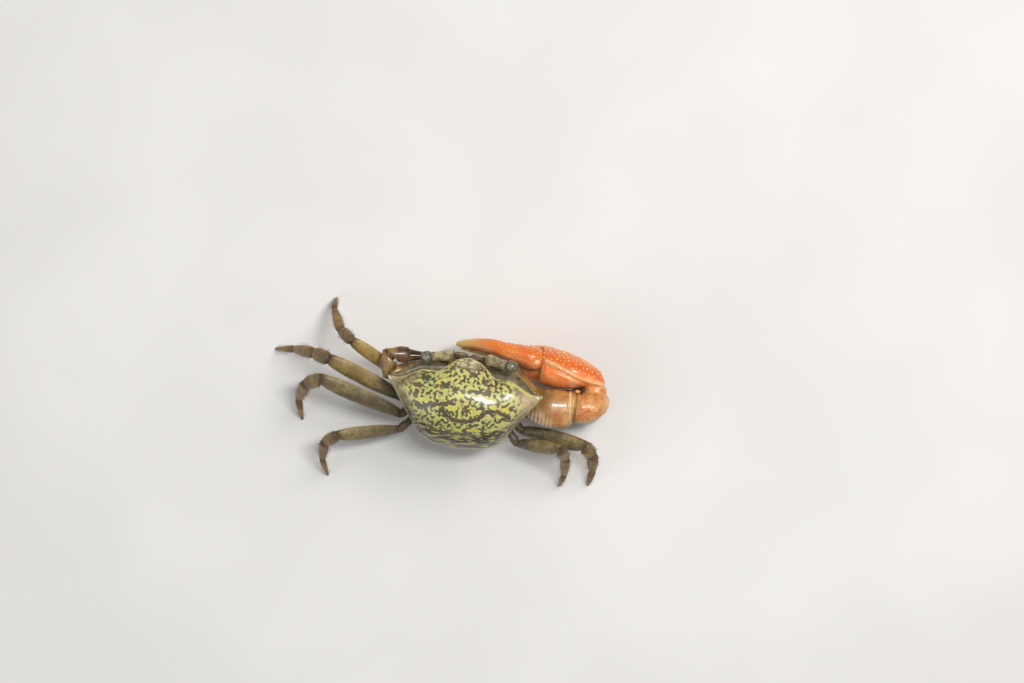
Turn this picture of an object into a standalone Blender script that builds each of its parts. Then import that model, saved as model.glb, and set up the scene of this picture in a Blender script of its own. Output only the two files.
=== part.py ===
"""Male fiddler crab at life size, standing on its eight walking legs with its great right claw
folded across the front. Each limb segment, shell plate, eye and mouthpart is its own solid."""

import math
import random

import bmesh
import bpy
from mathutils import Matrix, Vector

# Driving sizes, in millimetres until make_object turns them into metres.
MM = 0.001
CARAPACE_BREADTH = 20.0
BODY_HEIGHT = 12.0
BODY_PITCH = math.radians(15)
JOINT_GAP = 0.3
LEG_SIDES = 12
CLAW_SIDES = 20

# Half the shell, from the midline out to the corner spine: place across, then length and height.
HALF = CARAPACE_BREADTH / 2
FRONT_EDGE = [
    (0, -3.51, -1.2), (0.9, -3.31, -1.15), (1.8, -2.97, -0.9), (2.8, -2.22, -0.6),
    (3.8, -1.5, -0.35), (5.5, -1.5, -0.2), (6.7, -1.0, -0.1), (8.0, -0.31, 0), (8.85, -0.05, 0),
    (9.5, -0.1, 0.02), (HALF, -0.16, 0.05),
]
REAR_EDGE = [
    (0, 8.87, -1.8), (3, 8.53, -1.7), (5.2, 7.41, -1.4), (6.5, 5.49, -0.8), (8.0, 3.2, -0.35),
    (9.2, 1.32, -0.1), (HALF, 0.12, 0),
]
DOME_HEIGHT = [(0, 4.3), (3, 4.05), (5, 3.1), (6.5, 2.2), (8, 1.2), (9.2, 0.45), (HALF, 0.12)]
BROW_RIDGE = [
    (0, -2.9, -2.3), (1.5, -2.8, -2.25), (3, -2.6, -2.05), (5.9, -2.15, -1.8), (7.1, -1.55, -1.5),
    (8.05, -0.75, -1.15), (8.8, -0.2, -0.8), (9.5, -0.1, -0.4), (HALF, -0.1, -0.16),
]
ORBIT_DEPTH = [(0, 0.25), (1.2, 0.4), (2.1, 1.0), (6.5, 0.95), (8, 0.5), (9, 0.12), (HALF, 0.03)]
BELLY_LEVEL = [
    (0, -5.7), (5.2, -5.7), (5.45, -3.6), (6.5, -2.7), (8, -1.65), (9, -1.0), (9.6, -0.55),
    (HALF, -0.24),
]
BELLY_FRONT = [
    (0, -1.9), (3, -1.9), (5.2, -1.6), (5.45, -1.3), (7, -0.7), (8, -0.1), (9, 0.05),
    (HALF, -0.08),
]
BELLY_REAR = [
    (0, 6.9), (4, 6.9), (5.2, 6.7), (5.45, 6.5), (6.5, 5.7), (7.3, 4.75), (8, 3.3), (9, 1.3),
    (HALF, 0.06),
]
SHELL_STATIONS = [
    0, 0.45, 0.9, 1.35, 1.8, 2.25, 2.7, 3.15, 3.6, 4.05, 4.5, 4.9, 5.2, 5.45, 5.9, 6.35, 6.8,
    7.25, 7.7, 8.15, 8.55, 8.9, 9.25, 9.6, 9.82, HALF,
]
DORSAL_STEPS = 18
BEAD_SPACING = 0.52
BEAD_RADIUS = 0.15
BEAD_HEIGHT = 0.18

# Furrows on the back: half width and depth of the curved one behind the stomach, of the two
# that run beside it and of the two that lead out from it.
FURROW_WIDTH = 0.42
FURROW_DEPTH = 0.16
STOMACH_REACH = 2.7

# Where each leg bends: end of the hip, knee, end of the wrist piece, end of the foot piece, tip.
LEG_POSES = {
    "left_1": (
        (7.7, 0.1, 6.5), (15.3, -3.8, 9.0), (17.05, -5.0, 6.6), (18.4, -7.6, 3.3), (18.4, -9.1, 0),
    ),
    "left_2": (
        (7.8, 2.6, 6.4), (17.9, -1.1, 9.4), (20.1, -1.6, 6.9), (22.9, -1.7, 3.4), (25.4, -1.4, 0),
    ),
    "left_3": (
        (7.9, 4.7, 6.0), (18.6, 1.6, 9.4), (20.6, 2.5, 6.9), (21.4, 4.7, 3.2), (20.7, 7.3, 0),
    ),
    "left_4": (
        (7.8, 6.7, 5.6), (15.5, 8.5, 8.8), (17.2, 9.7, 6.4), (17.3, 12.0, 3.0), (16.4, 14.1, 0),
    ),
    "right_1": (
        (-7.6, 0.5, 5.3), (-15.0, -0.7, 5.0), (-16.2, -1.0, 2.8), (-12.8, -2.4, 1.5), (-9.6, -3.8, 0),
    ),
    "right_2": (
        (-7.8, 2.5, 5.1), (-15.9, 1.9, 5.2), (-17.3, 1.6, 3.0), (-14.1, 1.5, 1.5), (-10.6, 1.9, 0),
    ),
    "right_3": (
        (-7.9, 4.7, 5.0), (-16.2, 5.6, 7.2), (-17.5, 6.7, 5.3), (-17.8, 8.8, 2.6), (-17.5, 10.8, 0),
    ),
    "right_4": (
        (-7.6, 6.5, 5.6), (-13.2, 6.4, 9.2), (-14.05, 7.6, 6.6), (-14.2, 9.8, 3.1), (-13.8, 11.4, 0),
    ),
}
HIP_PLACES = {"1": 0.8, "2": 2.5, "3": 4.2, "4": 5.9}
HIP_LEVEL = -5.0
HIP_START = 5.45 + JOINT_GAP

# Share of the segment's length, breadth and thickness of each section.
HIP_SECTIONS = [
    (0, 0.95, 1.2), (0.35, 1.1, 1.25), (0.55, 0.98, 1.1), (0.8, 1.15, 1.1), (1, 1.1, 1.0),
]
MERUS_SECTIONS = [
    (0, 1.2, 0.9), (0.06, 1.5, 1.05), (0.2, 1.95, 1.15), (0.45, 2.35, 1.25), (0.7, 2.4, 1.3),
    (0.88, 2.15, 1.25), (1, 1.65, 1.0),
]
CARPUS_SECTIONS = [
    (0, 1.5, 0.95), (0.25, 1.85, 1.2), (0.65, 1.85, 1.2), (0.87, 1.6, 1.05), (1, 1.35, 0.9),
]
PROPODUS_SECTIONS = [
    (0, 1.3, 0.85), (0.12, 1.5, 0.95), (0.4, 1.55, 1.0), (0.8, 1.2, 0.85), (1, 0.95, 0.7),
]
FOOT_SECTIONS = [
    (0, 0.88, 0.65), (0.2, 0.9, 0.68), (0.5, 0.7, 0.58), (0.8, 0.5, 0.45), (1, 0.38, 0.36),
]
SLIGHT_LEG = 0.85
MERUS_LEAN = math.radians(30)
FOOT_BOW = 0.3
# Power of the superellipse that gives a leg its sharp upper and lower edges.
LEG_EDGE = 1.75
RING_CLEARANCE = 0.05

SHELL_OLIVE = (0.32, 0.30, 0.06, 1)
LEG_BROWN = (0.20, 0.15, 0.07, 1)
CLAW_ORANGE = (0.83, 0.20, 0.03, 1)
ARM_OLIVE = (0.42, 0.20, 0.07, 1)
EYE_GREY = (0.20, 0.23, 0.18, 1)
BELLY_TAN = (0.45, 0.36, 0.22, 1)


def smooth_value(keys, place, column=1):
    """Height at a place on the smooth curve through the keys, which never overshoots them."""
    places = [key[0] for key in keys]
    values = [key[column] for key in keys]
    if place >= places[-1]:
        return values[-1]
    steps = [(b - a) / (q - p) for a, b, p, q in zip(values, values[1:], places, places[1:])]
    slopes = [steps[0]]
    for before, after in zip(steps, steps[1:]):
        agree = before * after > 0
        slopes.append(2 * before * after / (before + after) if agree else 0)
    slopes.append(steps[-1])
    i = max(k for k, p in enumerate(places) if p <= place)
    width = places[i + 1] - places[i]
    t = (place - places[i]) / width
    rise = values[i + 1] - values[i]
    bend_in = slopes[i] * width - rise
    bend_out = rise - slopes[i + 1] * width
    return values[i] + rise * t + t * (1 - t) * (bend_in * (1 - t) + bend_out * t)


def stations(first, last, step):
    """Places from first to last at even steps no longer than the one given."""
    count = math.ceil((last - first) / step)
    return [first + (last - first) * i / count for i in range(count + 1)]


def loft(rings):
    """Closed body through rings of points, triangulated; a ring of one point is a tip."""
    mesh = bmesh.new()
    rows = [[mesh.verts.new(point) for point in ring] for ring in rings]
    for first, second in zip(rows, rows[1:]):
        count = max(len(first), len(second))
        for i in range(count):
            j = (i + 1) % count
            if len(second) == 1:
                mesh.faces.new((first[i], first[j], second[0]))
            elif len(first) == 1:
                mesh.faces.new((first[0], second[j], second[i]))
            else:
                mesh.faces.new((first[i], first[j], second[j], second[i]))
    for row in (rows[0], rows[-1]):
        if len(row) > 1:
            mesh.faces.new(row)
    bmesh.ops.triangulate(mesh, faces=mesh.faces[:])
    bmesh.ops.recalc_face_normals(mesh, faces=mesh.faces[:])
    return mesh


def material_of(name, colour, roughness):
    found = bpy.data.materials.get(name)
    if found:
        return found
    material = bpy.data.materials.new(name)
    material.use_nodes = True
    shader = material.node_tree.nodes["Principled BSDF"]
    shader.inputs["Base Color"].default_value = colour
    shader.inputs["Roughness"].default_value = roughness
    shader.inputs["Metallic"].default_value = 0
    return material


def make_object(name, mesh, origin, parent, material):
    """Named object in metres from a millimetre mesh, with its own origin."""
    bmesh.ops.transform(mesh, matrix=Matrix.Translation(-origin), verts=mesh.verts[:])
    bmesh.ops.scale(mesh, vec=(MM, MM, MM), verts=mesh.verts[:])
    data = bpy.data.meshes.new(name)
    mesh.to_mesh(data)
    mesh.free()
    data.shade_smooth()
    data.set_sharp_from_angle(angle=math.radians(40))
    data.materials.append(material_of(*material))
    made = bpy.data.objects.new(name, data)
    made.location = origin * MM
    made.parent = parent
    bpy.data.collections["fiddler_crab"].objects.link(made)
    return made


def superellipse(breadth, height, sides, power):
    """Points round an outline of the given full sizes: an ellipse at a power of 2, plumper
    above it and with sharper side edges below it."""
    points = []
    for k in range(sides):
        turn = math.tau * k / sides
        c, s = math.cos(turn), math.sin(turn)
        points.append(
            (
                math.copysign(abs(c) ** (2 / power), c) * breadth / 2,
                math.copysign(abs(s) ** (2 / power), s) * height / 2,
            )
        )
    return points


def limb_rings(start, end, cuts, lean, sections, bow, power):
    """Rings from joint to joint. The end rings lie in the joints' own planes, half a gap
    short of the joint, so that neighbours meet face to face."""
    axis = (end - start).normalized()
    level = axis.cross(Vector((0, 0, 1))).normalized()
    up = level.cross(axis)
    broad = level * math.cos(lean) + up * math.sin(lean)
    thick = up * math.cos(lean) - level * math.sin(lean)
    first = start + axis * (JOINT_GAP / 2 / axis.dot(cuts[0]))
    last = end - axis * (JOINT_GAP / 2 / axis.dot(cuts[1]))
    rings = []
    for share, breadth, thickness in sections:
        centre = first.lerp(last, share) + up * bow * 4 * share * (1 - share)
        cut = cuts[0] if share == 0 else cuts[1] if share == 1 else axis
        ring = []
        for across, over in superellipse(breadth, thickness, LEG_SIDES, power):
            offset = broad * across + thick * over
            offset -= axis * (offset.dot(cut) / axis.dot(cut))
            point = centre + offset
            if 0 < share < 1:
                # Inside a sharp bend a point is moved along the limb, clear of the joint's plane.
                clear = JOINT_GAP / 2 + RING_CLEARANCE
                near = max(clear - (point - start).dot(cuts[0]), 0) / axis.dot(cuts[0])
                far = max(clear - (end - point).dot(cuts[1]), 0) / axis.dot(cuts[1])
                point += axis * (near - far)
            ring.append(point)
        rings.append(ring)
    return rings


def make_limb(name, start, end, cuts, lean, sections, parent, material, bow=0.0, power=2.0):
    rings = limb_rings(start, end, cuts, lean, sections, bow, power)
    for ring in rings:
        for point in ring:
            point.z = max(point.z, 0)
    return make_object(name, loft(rings), start, parent, material)


def joint_plane(before, at, after):
    """Unit normal of the plane that halves the bend between two segments."""
    return ((at - before).normalized() + (after - at).normalized()).normalized()


def trunk_to_world(point):
    turned = Matrix.Rotation(-BODY_PITCH, 3, "X") @ Vector(point)
    return turned + Vector((0, 0, BODY_HEIGHT))


def swell(distance, width):
    """Soft hump that is 1 at no distance and fades over the width."""
    return math.exp(-((distance / width) ** 2))


def fade(value, near, far):
    """From 1 at the near value to 0 at the far one."""
    share = min(max((value - near) / (far - near), 0), 1)
    return 1 - share * share * (3 - 2 * share)


def furrow_depth(x, y):
    """Depth of the furrows round the stomach and the heart, at a place on the back."""
    crescent = swell(y - 4.45 + 0.2 * x * x, FURROW_WIDTH) * fade(x, STOMACH_REACH, 3.3)
    beside = swell(x - STOMACH_REACH - 0.12 * (y - 3), FURROW_WIDTH)
    beside *= fade(y, 5.4, 6.6) * fade(-y, -1.4, 0.2)
    outward = swell(y - 2.4 - 0.2 * (x - STOMACH_REACH), FURROW_WIDTH) * fade(x, 5.2, 6.4)
    outward *= fade(-x, -3.0, -2.4)
    return FURROW_DEPTH * min(1, crescent + 0.7 * beside + 0.6 * outward)


def shell_section(across):
    """Closed outline of the trunk in a plane of constant breadth, from the front edge over
    the back, down the rear wall, along the belly and up past the brow ridge and the orbit."""
    x = abs(across)
    front = [smooth_value(FRONT_EDGE, x, column) for column in (1, 2)]
    rear = [smooth_value(REAR_EDGE, x, column) for column in (1, 2)]
    brow = [smooth_value(BROW_RIDGE, x, column) for column in (1, 2)]
    dome = smooth_value(DOME_HEIGHT, x)
    orbit = smooth_value(ORBIT_DEPTH, x)
    belly = smooth_value(BELLY_LEVEL, x)
    belly_front = smooth_value(BELLY_FRONT, x)
    belly_rear = smooth_value(BELLY_REAR, x)
    points = []
    for step in range(DORSAL_STEPS):
        share = 0.5 - 0.5 * math.cos(math.pi * step / (DORSAL_STEPS - 1))
        y = front[0] + (rear[0] - front[0]) * share
        rise = dome * (4 * share * (1 - share)) ** 0.75 - furrow_depth(x, y)
        points.append((y, front[1] + (rear[1] - front[1]) * share + rise))
    wall = rear[1] - belly
    points.append((rear[0] - 0.03 * wall, rear[1] - 0.08 * wall))
    points.append((0.75 * rear[0] + 0.25 * belly_rear, rear[1] - 0.3 * wall))
    points.append((0.35 * rear[0] + 0.65 * belly_rear, rear[1] - 0.65 * wall))
    for share in (0, 0.33, 0.67, 1):
        points.append((belly_rear + (belly_front - belly_rear) * share, belly))
    cheek = brow[1] - belly
    points.append((belly_front + 0.4 * (brow[0] - belly_front), belly + 0.35 * cheek))
    points.append((belly_front + 0.8 * (brow[0] - belly_front), belly + 0.7 * cheek))
    points.append((brow[0], brow[1] - 0.04 * cheek))
    points.append((brow[0] + 0.12 * orbit, brow[1] + 0.04 * cheek))
    lid = front[1] - brow[1]
    points.append((brow[0] + orbit, brow[1] + 0.12 * lid))
    points.append((front[0] + orbit, front[1] - 0.35 * lid))
    points.append((front[0] + 0.15 * orbit, front[1] - 0.12 * lid))
    return [Vector((across, y, z)) for y, z in points]


def make_carapace(trunk):
    places = [-x for x in reversed(SHELL_STATIONS[1:])] + SHELL_STATIONS
    body = loft([shell_section(x) for x in places])
    shell = make_object("carapace", body, Vector(), trunk, ("carapace", SHELL_OLIVE, 0.25))
    beads = []
    out = Vector((0, -1, 0.35)).normalized()
    for x in stations(2.9, 8.6, BEAD_SPACING):
        y, z = (smooth_value(BROW_RIDGE, x, column) for column in (1, 2))
        size = 0.7 + 0.5 * x / HALF
        for side in (1, -1):
            point = Vector((side * x, y + 0.02, z))
            beads.append(cone_at(point, out, BEAD_RADIUS * size, BEAD_HEIGHT * size))
    fuse(shell, beads)


# The chest plate under the trunk: place along, half breadth, depth of the groove for the tail.
STERNUM = [(-1.5, 1.6, 0.35), (-0.6, 3.2, 0.5), (1.5, 4.7, 0.5), (4.0, 4.9, 0.5), (6.3, 4.2, 0.5)]
STERNUM_TOP = -6.0
STERNUM_THICKNESS = 1.1
STERNUM_STEP = 0.75
# The tail's half breadth, from its tip under the mouth to its root behind the shell.
TAIL_HALF_BREADTH = [(0, 0.35), (0.7, 0.85), (3.4, 1.5), (6.7, 2.0), (8.4, 2.0), (11.4, 2.3)]
TAIL_TIP = -0.4
TAIL_THICKNESS = 0.62
TAIL_SEGMENT_ENDS = (1.3, 2.7, 4.2, 5.7, 7.3, 9.2, 11.2)
TAIL_SEAM = 0.16


def make_sternum(trunk):
    low = STERNUM_TOP - STERNUM_THICKNESS
    rings = []
    for place in stations(STERNUM[0][0], STERNUM[-1][0], STERNUM_STEP):
        half, groove = (smooth_value(STERNUM, place, column) for column in (1, 2))
        tail = smooth_value(TAIL_HALF_BREADTH, max(place - TAIL_TIP, 0))
        slot = min(tail + JOINT_GAP, half - 0.5)
        profile = [
            (half, STERNUM_TOP), (half, low + 0.35), (half - 0.35, low), (slot + 0.1, low),
            (slot, low + groove), (-slot, low + groove), (-slot - 0.1, low), (0.35 - half, low),
            (-half, low + 0.35), (-half, STERNUM_TOP),
        ]
        rings.append([Vector((x, place, z)) for x, z in profile])
    origin = Vector((0, STERNUM[0][0], STERNUM_TOP))
    make_object("sternum", loft(rings), origin, trunk, ("sternum", BELLY_TAN, 0.45))


def make_abdomen(trunk):
    """Narrow tail flap of the male, folded forwards in the groove of the chest plate. Its
    middle line runs under the chest, then up behind the trunk, and a seam parts its rings."""
    level = STERNUM_TOP - STERNUM_THICKNESS + 0.5 - JOINT_GAP - TAIL_THICKNESS / 2
    line = [(0, TAIL_TIP, level), (1, 0.6, level), (6.9, 6.45, level), (8.1, 7.45, level + 0.75)]
    line += [(9.4, 8.05, -5.3), (10.9, 8.75, -3.9), (12.1, 9.05, -2.8)]
    rings = []
    places = []
    start = 0
    for end in TAIL_SEGMENT_ENDS:
        places += [(start + 0.02, 1), (start + 0.25, 0), (end - 0.2, 0)]
        start = end
    places.append((start, 1))
    for place, seam in places:
        before, here, after = (
            Vector((0, smooth_value(line, at, 1), smooth_value(line, at, 2)))
            for at in (max(place - 0.2, 0), place, place + 0.2)
        )
        outward = (after - before).normalized().cross(Vector((1, 0, 0)))
        breadth = 2 * smooth_value(TAIL_HALF_BREADTH, place) - TAIL_SEAM * seam
        thickness = TAIL_THICKNESS - TAIL_SEAM * seam
        outline = superellipse(breadth, thickness, 12, 3.0)
        rings.append([here + Vector((x, 0, 0)) + outward * z for x, z in outline])
    origin = Vector((0, TAIL_TIP, level))
    make_object("abdomen", loft(rings), origin, trunk, ("abdomen", BELLY_TAN, 0.45))


def make_legs(crab):
    skin = ("leg", LEG_BROWN, 0.35)
    names = ("hip", "merus", "carpus", "propodus", "dactyl")
    profiles = (HIP_SECTIONS, MERUS_SECTIONS, CARPUS_SECTIONS, PROPODUS_SECTIONS, FOOT_SECTIONS)
    for leg, bends in LEG_POSES.items():
        side = 1 if leg.startswith("left") else -1
        socket = trunk_to_world((side * (HIP_START - JOINT_GAP / 2), HIP_PLACES[leg[-1]], HIP_LEVEL))
        points = [socket] + [Vector(point) for point in bends]
        cuts = [Vector((side, 0, 0))]
        for before, at, after in zip(points, points[1:], points[2:]):
            cuts.append(joint_plane(before, at, after))
        cuts.append(Vector((0, 0, -1)))
        size = SLIGHT_LEG if leg[-1] in "14" or leg == "right_2" else 1.0
        for i, (name, profile) in enumerate(zip(names, profiles)):
            scale = 1.0 if i == 0 else size
            sections = [(share, wide * scale, thick * scale) for share, wide, thick in profile]
            lean = side * MERUS_LEAN if i == 1 else 0
            end = points[i + 1]
            if i == len(names) - 1:
                end = end - Vector((0, 0, JOINT_GAP / 2))
            bow = FOOT_BOW if i == len(names) - 1 else 0.0
            make_limb(
                f"leg_{leg}_{name}", points[i], end, (cuts[i], cuts[i + 1]), lean, sections,
                crab, skin, bow, LEG_EDGE if i else 2.0,
            )


# Great claw, in the crab's own frame. Keys run along the hand from its heel towards the tips:
# place across, outer face, inner face, top, bottom.
PALM = [
    (-17.75, -3.0, -2.5, 8.2, 6.9), (-17.45, -3.6, -2.2, 9.1, 5.8), (-16.5, -4.5, -2.12, 9.9, 4.7),
    (-15.0, -5.25, -2.05, 10.5, 3.8), (-13.2, -5.85, -1.65, 10.85, 3.2),
    (-11.4, -6.25, -1.52, 10.9, 2.9), (-10.1, -6.45, -1.55, 10.7, 2.85),
    (-9.4, -6.5, -1.6, 10.3, 2.85),
]
FIXED_FINGER = [
    (-9.3, -6.5, -1.7, 6.7, 2.85), (-8.3, -6.4, -1.85, 6.4, 2.9), (-7.3, -6.25, -2.4, 6.1, 3.0),
    (-6.4, -6.1, -3.2, 5.85, 3.1), (-5.3, -5.95, -3.85, 5.65, 3.2), (-3.8, -5.75, -4.1, 5.5, 3.4),
    (-2.0, -5.55, -4.25, 5.45, 3.7), (-0.4, -5.35, -4.35, 5.5, 4.1), (0.7, -5.2, -4.5, 5.75, 4.65),
    (1.35, -5.05, -4.65, 6.0, 5.2),
]
MOVING_FINGER = [
    (-9.0, -5.9, -3.5, 9.95, 7.25), (-8.6, -6.15, -3.3, 10.3, 7.1),
    (-7.8, -6.2, -3.35, 10.45, 7.05),
    (-6.6, -6.25, -3.75, 10.35, 7.3), (-4.6, -6.3, -4.1, 10.15, 7.55), (-2.6, -6.5, -4.7, 9.7, 7.5),
    (-0.8, -6.35, -4.95, 8.95, 7.0), (0.6, -6.05, -4.95, 8.1, 6.5), (1.4, -5.8, -4.9, 7.45, 6.1),
    (1.8, -5.65, -4.95, 7.05, 6.0), (2.0, -5.45, -5.1, 6.75, 6.15),
]
CLAW_PLUMPNESS = 2.3
CLAW_STATION_STEP = 0.75
GRANULE_SPACING = 0.95
GRANULE_RADIUS = 0.23
GRANULE_HEIGHT = 0.2
GRANULE_SCATTER = 0.12
TOOTH_SPACING = 0.72
TOOTH_RADIUS = 0.24
TOOTH_HEIGHT = 0.26
# Which teeth along a finger stand out, and by how much.
LARGE_TEETH = (5, 9)
LARGE_TOOTH = 1.6

WRIST_PIVOT = (-14.5, -1.3)
# Turn round the inner edge, reach to the inner and the outer edge, top, bottom.
WRIST = [
    (0, 0.2, 3.9, 10.3, 7.0), (20, 0.35, 4.15, 10.6, 6.6), (40, 0.5, 4.35, 10.6, 6.4),
    (60, 0.6, 4.4, 10.4, 6.3), (78, 0.6, 4.25, 9.9, 6.2), (90, 0.7, 3.75, 9.3, 6.3),
]
WRIST_STATIONS = (0, 7, 20, 35, 50, 65, 78, 86, 90)
# Centre, breadth and height of the arm's sections, from the trunk to the wrist.
ARM = [
    ((-5.75, -2.35, 7.45), 1.5, 1.5), ((-6.9, -1.6, 7.7), 2.0, 1.7), ((-8.3, 0.1, 8.2), 3.3, 2.4),
    ((-9.7, 1.0, 8.75), 4.6, 3.1), ((-11.3, 1.3, 8.95), 5.0, 3.5), ((-13.0, 1.2, 8.85), 4.8, 3.5),
    ((-14.2, 0.95, 8.7), 4.1, 3.2),
]


def hand_size(keys, x):
    return [smooth_value(keys, x, column) for column in (1, 2, 3, 4)]


def hand_ring(keys, x):
    outer, inner, top, bottom = hand_size(keys, x)
    outline = superellipse(inner - outer, top - bottom, CLAW_SIDES, CLAW_PLUMPNESS)
    centre = Vector((x, (outer + inner) / 2, (top + bottom) / 2))
    return [centre + Vector((0, y, z)) for y, z in outline]


def hand_point(keys, x, turn):
    """Point on the hand's surface and the way out of it. A quarter turn is the upper edge
    and half a turn the outer face."""
    outer, inner, top, bottom = hand_size(keys, x)
    c, s = math.cos(turn), math.sin(turn)
    y = math.copysign(abs(c) ** (2 / CLAW_PLUMPNESS), c)
    z = math.copysign(abs(s) ** (2 / CLAW_PLUMPNESS), s)
    centre = Vector((x, (outer + inner) / 2, (top + bottom) / 2))
    out = Vector((0, c / (inner - outer), s / (top - bottom))).normalized()
    return centre + Vector((0, y * (inner - outer) / 2, z * (top - bottom) / 2)), out


def cone_at(point, out, radius, height, sides=5):
    """Blunt cone standing on a surface, its root sunk well into it."""
    root = 1.6 * height
    mesh = bmesh.new()
    turned = out.to_track_quat("Z", "Y").to_matrix().to_4x4()
    place = Matrix.Translation(point + out * (height - root) / 2) @ turned
    bmesh.ops.create_cone(
        mesh, cap_ends=True, segments=sides, radius1=radius * 1.25, radius2=radius * 0.3,
        depth=height + root, matrix=place,
    )
    bmesh.ops.triangulate(mesh, faces=mesh.faces[:])
    return mesh


def largest_surface(data):
    """Leaves only the closed surface with the most points."""
    mesh = bmesh.new()
    mesh.from_mesh(data)
    left = set(mesh.verts)
    shells = []
    while left:
        found = {left.pop()}
        edge_of_search = list(found)
        while edge_of_search:
            vertex = edge_of_search.pop()
            for edge in vertex.link_edges:
                other = edge.other_vert(vertex)
                if other not in found:
                    found.add(other)
                    edge_of_search.append(other)
        left -= found
        shells.append(found)
    largest = max(shells, key=len)
    spare = [vertex for shell in shells if shell is not largest for vertex in shell]
    bmesh.ops.delete(mesh, geom=spare, context="VERTS")
    bmesh.ops.triangulate(mesh, faces=mesh.faces[:])
    mesh.to_mesh(data)
    mesh.free()


def fuse(node, pieces):
    """Joins small closed pieces, given in the node's parent's millimetres, to the node."""
    helpers = bpy.data.collections.new(node.name + "_pieces")
    bpy.context.scene.collection.children.link(helpers)
    for piece in pieces:
        bmesh.ops.scale(piece, vec=(MM, MM, MM), verts=piece.verts[:])
        data = bpy.data.meshes.new("piece")
        piece.to_mesh(data)
        piece.free()
        helper = bpy.data.objects.new("piece", data)
        helper.parent = node.parent
        helpers.objects.link(helper)
    union = node.modifiers.new("union", "BOOLEAN")
    union.operation = "UNION"
    union.operand_type = "COLLECTION"
    union.collection = helpers
    bpy.context.view_layer.update()
    graph = bpy.context.evaluated_depsgraph_get()
    joined = bpy.data.meshes.new_from_object(node.evaluated_get(graph))
    node.modifiers.clear()
    node.data = joined
    for helper in list(helpers.objects):
        bpy.data.objects.remove(helper, do_unlink=True)
    bpy.data.collections.remove(helpers)
    largest_surface(joined)
    joined.shade_smooth()
    joined.set_sharp_from_angle(angle=math.radians(40))


def granules(keys, first, last, turns, rng):
    """Rows of granules between two places along the hand and two turns round it."""
    pieces = []
    row = 0
    for x in stations(first, last, GRANULE_SPACING):
        outer, inner, top, bottom = hand_size(keys, x)
        girth = math.pi * (inner - outer + top - bottom) / 4
        step = GRANULE_SPACING / (girth / math.pi)
        turn = turns[0] + step * (0.5 if row % 2 else 0)
        while turn < turns[1]:
            along = x + rng.uniform(-GRANULE_SCATTER, GRANULE_SCATTER)
            round_it = turn + rng.uniform(-GRANULE_SCATTER, GRANULE_SCATTER) / 3
            point, out = hand_point(keys, along, round_it)
            size = rng.uniform(0.8, 1.15)
            pieces.append(cone_at(point, out, GRANULE_RADIUS * size, GRANULE_HEIGHT * size))
            turn += step
        row += 1
    return pieces


def teeth(keys, first, last, turn, rng):
    """Blunt teeth along one edge of a finger, two of them larger."""
    pieces = []
    for i, x in enumerate(stations(first, last, TOOTH_SPACING)):
        point, out = hand_point(keys, x, turn)
        size = rng.uniform(0.85, 1.1) * (LARGE_TOOTH if i in LARGE_TEETH else 1)
        pieces.append(cone_at(point, out, TOOTH_RADIUS * size, TOOTH_HEIGHT * size))
    return pieces


def wrist_ring(turn):
    near, far, top, bottom = [smooth_value(WRIST, turn, column) for column in (1, 2, 3, 4)]
    angle = math.radians(turn)
    heading = Vector((-math.sin(angle), math.cos(angle), 0))
    pivot = Vector((*WRIST_PIVOT, (top + bottom) / 2))
    centre = pivot + heading * (near + far) / 2
    outline = superellipse(far - near, top - bottom, CLAW_SIDES, CLAW_PLUMPNESS)
    return [centre + heading * y + Vector((0, 0, z)) for y, z in outline]


def arm_rings():
    centres = [Vector(section[0]) for section in ARM]
    rings = []
    for i, (_, breadth, height) in enumerate(ARM):
        axis = centres[min(i + 1, len(centres) - 1)] - centres[max(i - 1, 0)]
        if i in (0, len(centres) - 1):
            axis = Vector((-1, 0, 0))
        axis.z = 0
        level = Vector((0, 0, 1)).cross(axis.normalized())
        outline = superellipse(breadth, height, CLAW_SIDES, CLAW_PLUMPNESS)
        rings.append([centres[i] + level * y + Vector((0, 0, z)) for y, z in outline])
    return rings


def make_great_claw(crab):
    rng = random.Random(11)
    orange = ("great_claw", CLAW_ORANGE, 0.25)
    tan = ("great_claw_arm", ARM_OLIVE, 0.3)
    make_object("major_claw_arm", loft(arm_rings()), Vector(ARM[0][0]), crab, tan)
    wrist = [wrist_ring(turn) for turn in WRIST_STATIONS]
    make_object("major_claw_wrist", loft(wrist), Vector((*WRIST_PIVOT, 8.6)), crab, tan)
    rings = []
    for keys in (PALM, FIXED_FINGER):
        places = stations(keys[0][0], keys[-1][0], CLAW_STATION_STEP)
        rings += [hand_ring(keys, x) for x in places]
    palm = make_object("major_claw_palm", loft(rings), Vector((-16.5, -2.1, 7.2)), crab, orange)
    upper_outer = (math.radians(80), math.radians(205))
    pieces = granules(PALM, -16.6, -9.9, upper_outer, rng)
    pieces += teeth(FIXED_FINGER, -6.6, 0.4, math.radians(90), rng)
    fuse(palm, pieces)
    places = stations(MOVING_FINGER[0][0], MOVING_FINGER[-1][0], CLAW_STATION_STEP)
    rings = [hand_ring(MOVING_FINGER, x) for x in places]
    finger = make_object("major_claw_finger", loft(rings), Vector((-9.0, -4.7, 8.6)), crab, orange)
    pieces = granules(MOVING_FINGER, -8.0, -5.2, (math.radians(75), math.radians(170)), rng)
    pieces += teeth(MOVING_FINGER, -6.4, 0.7, math.radians(270), rng)
    fuse(finger, pieces)


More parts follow.
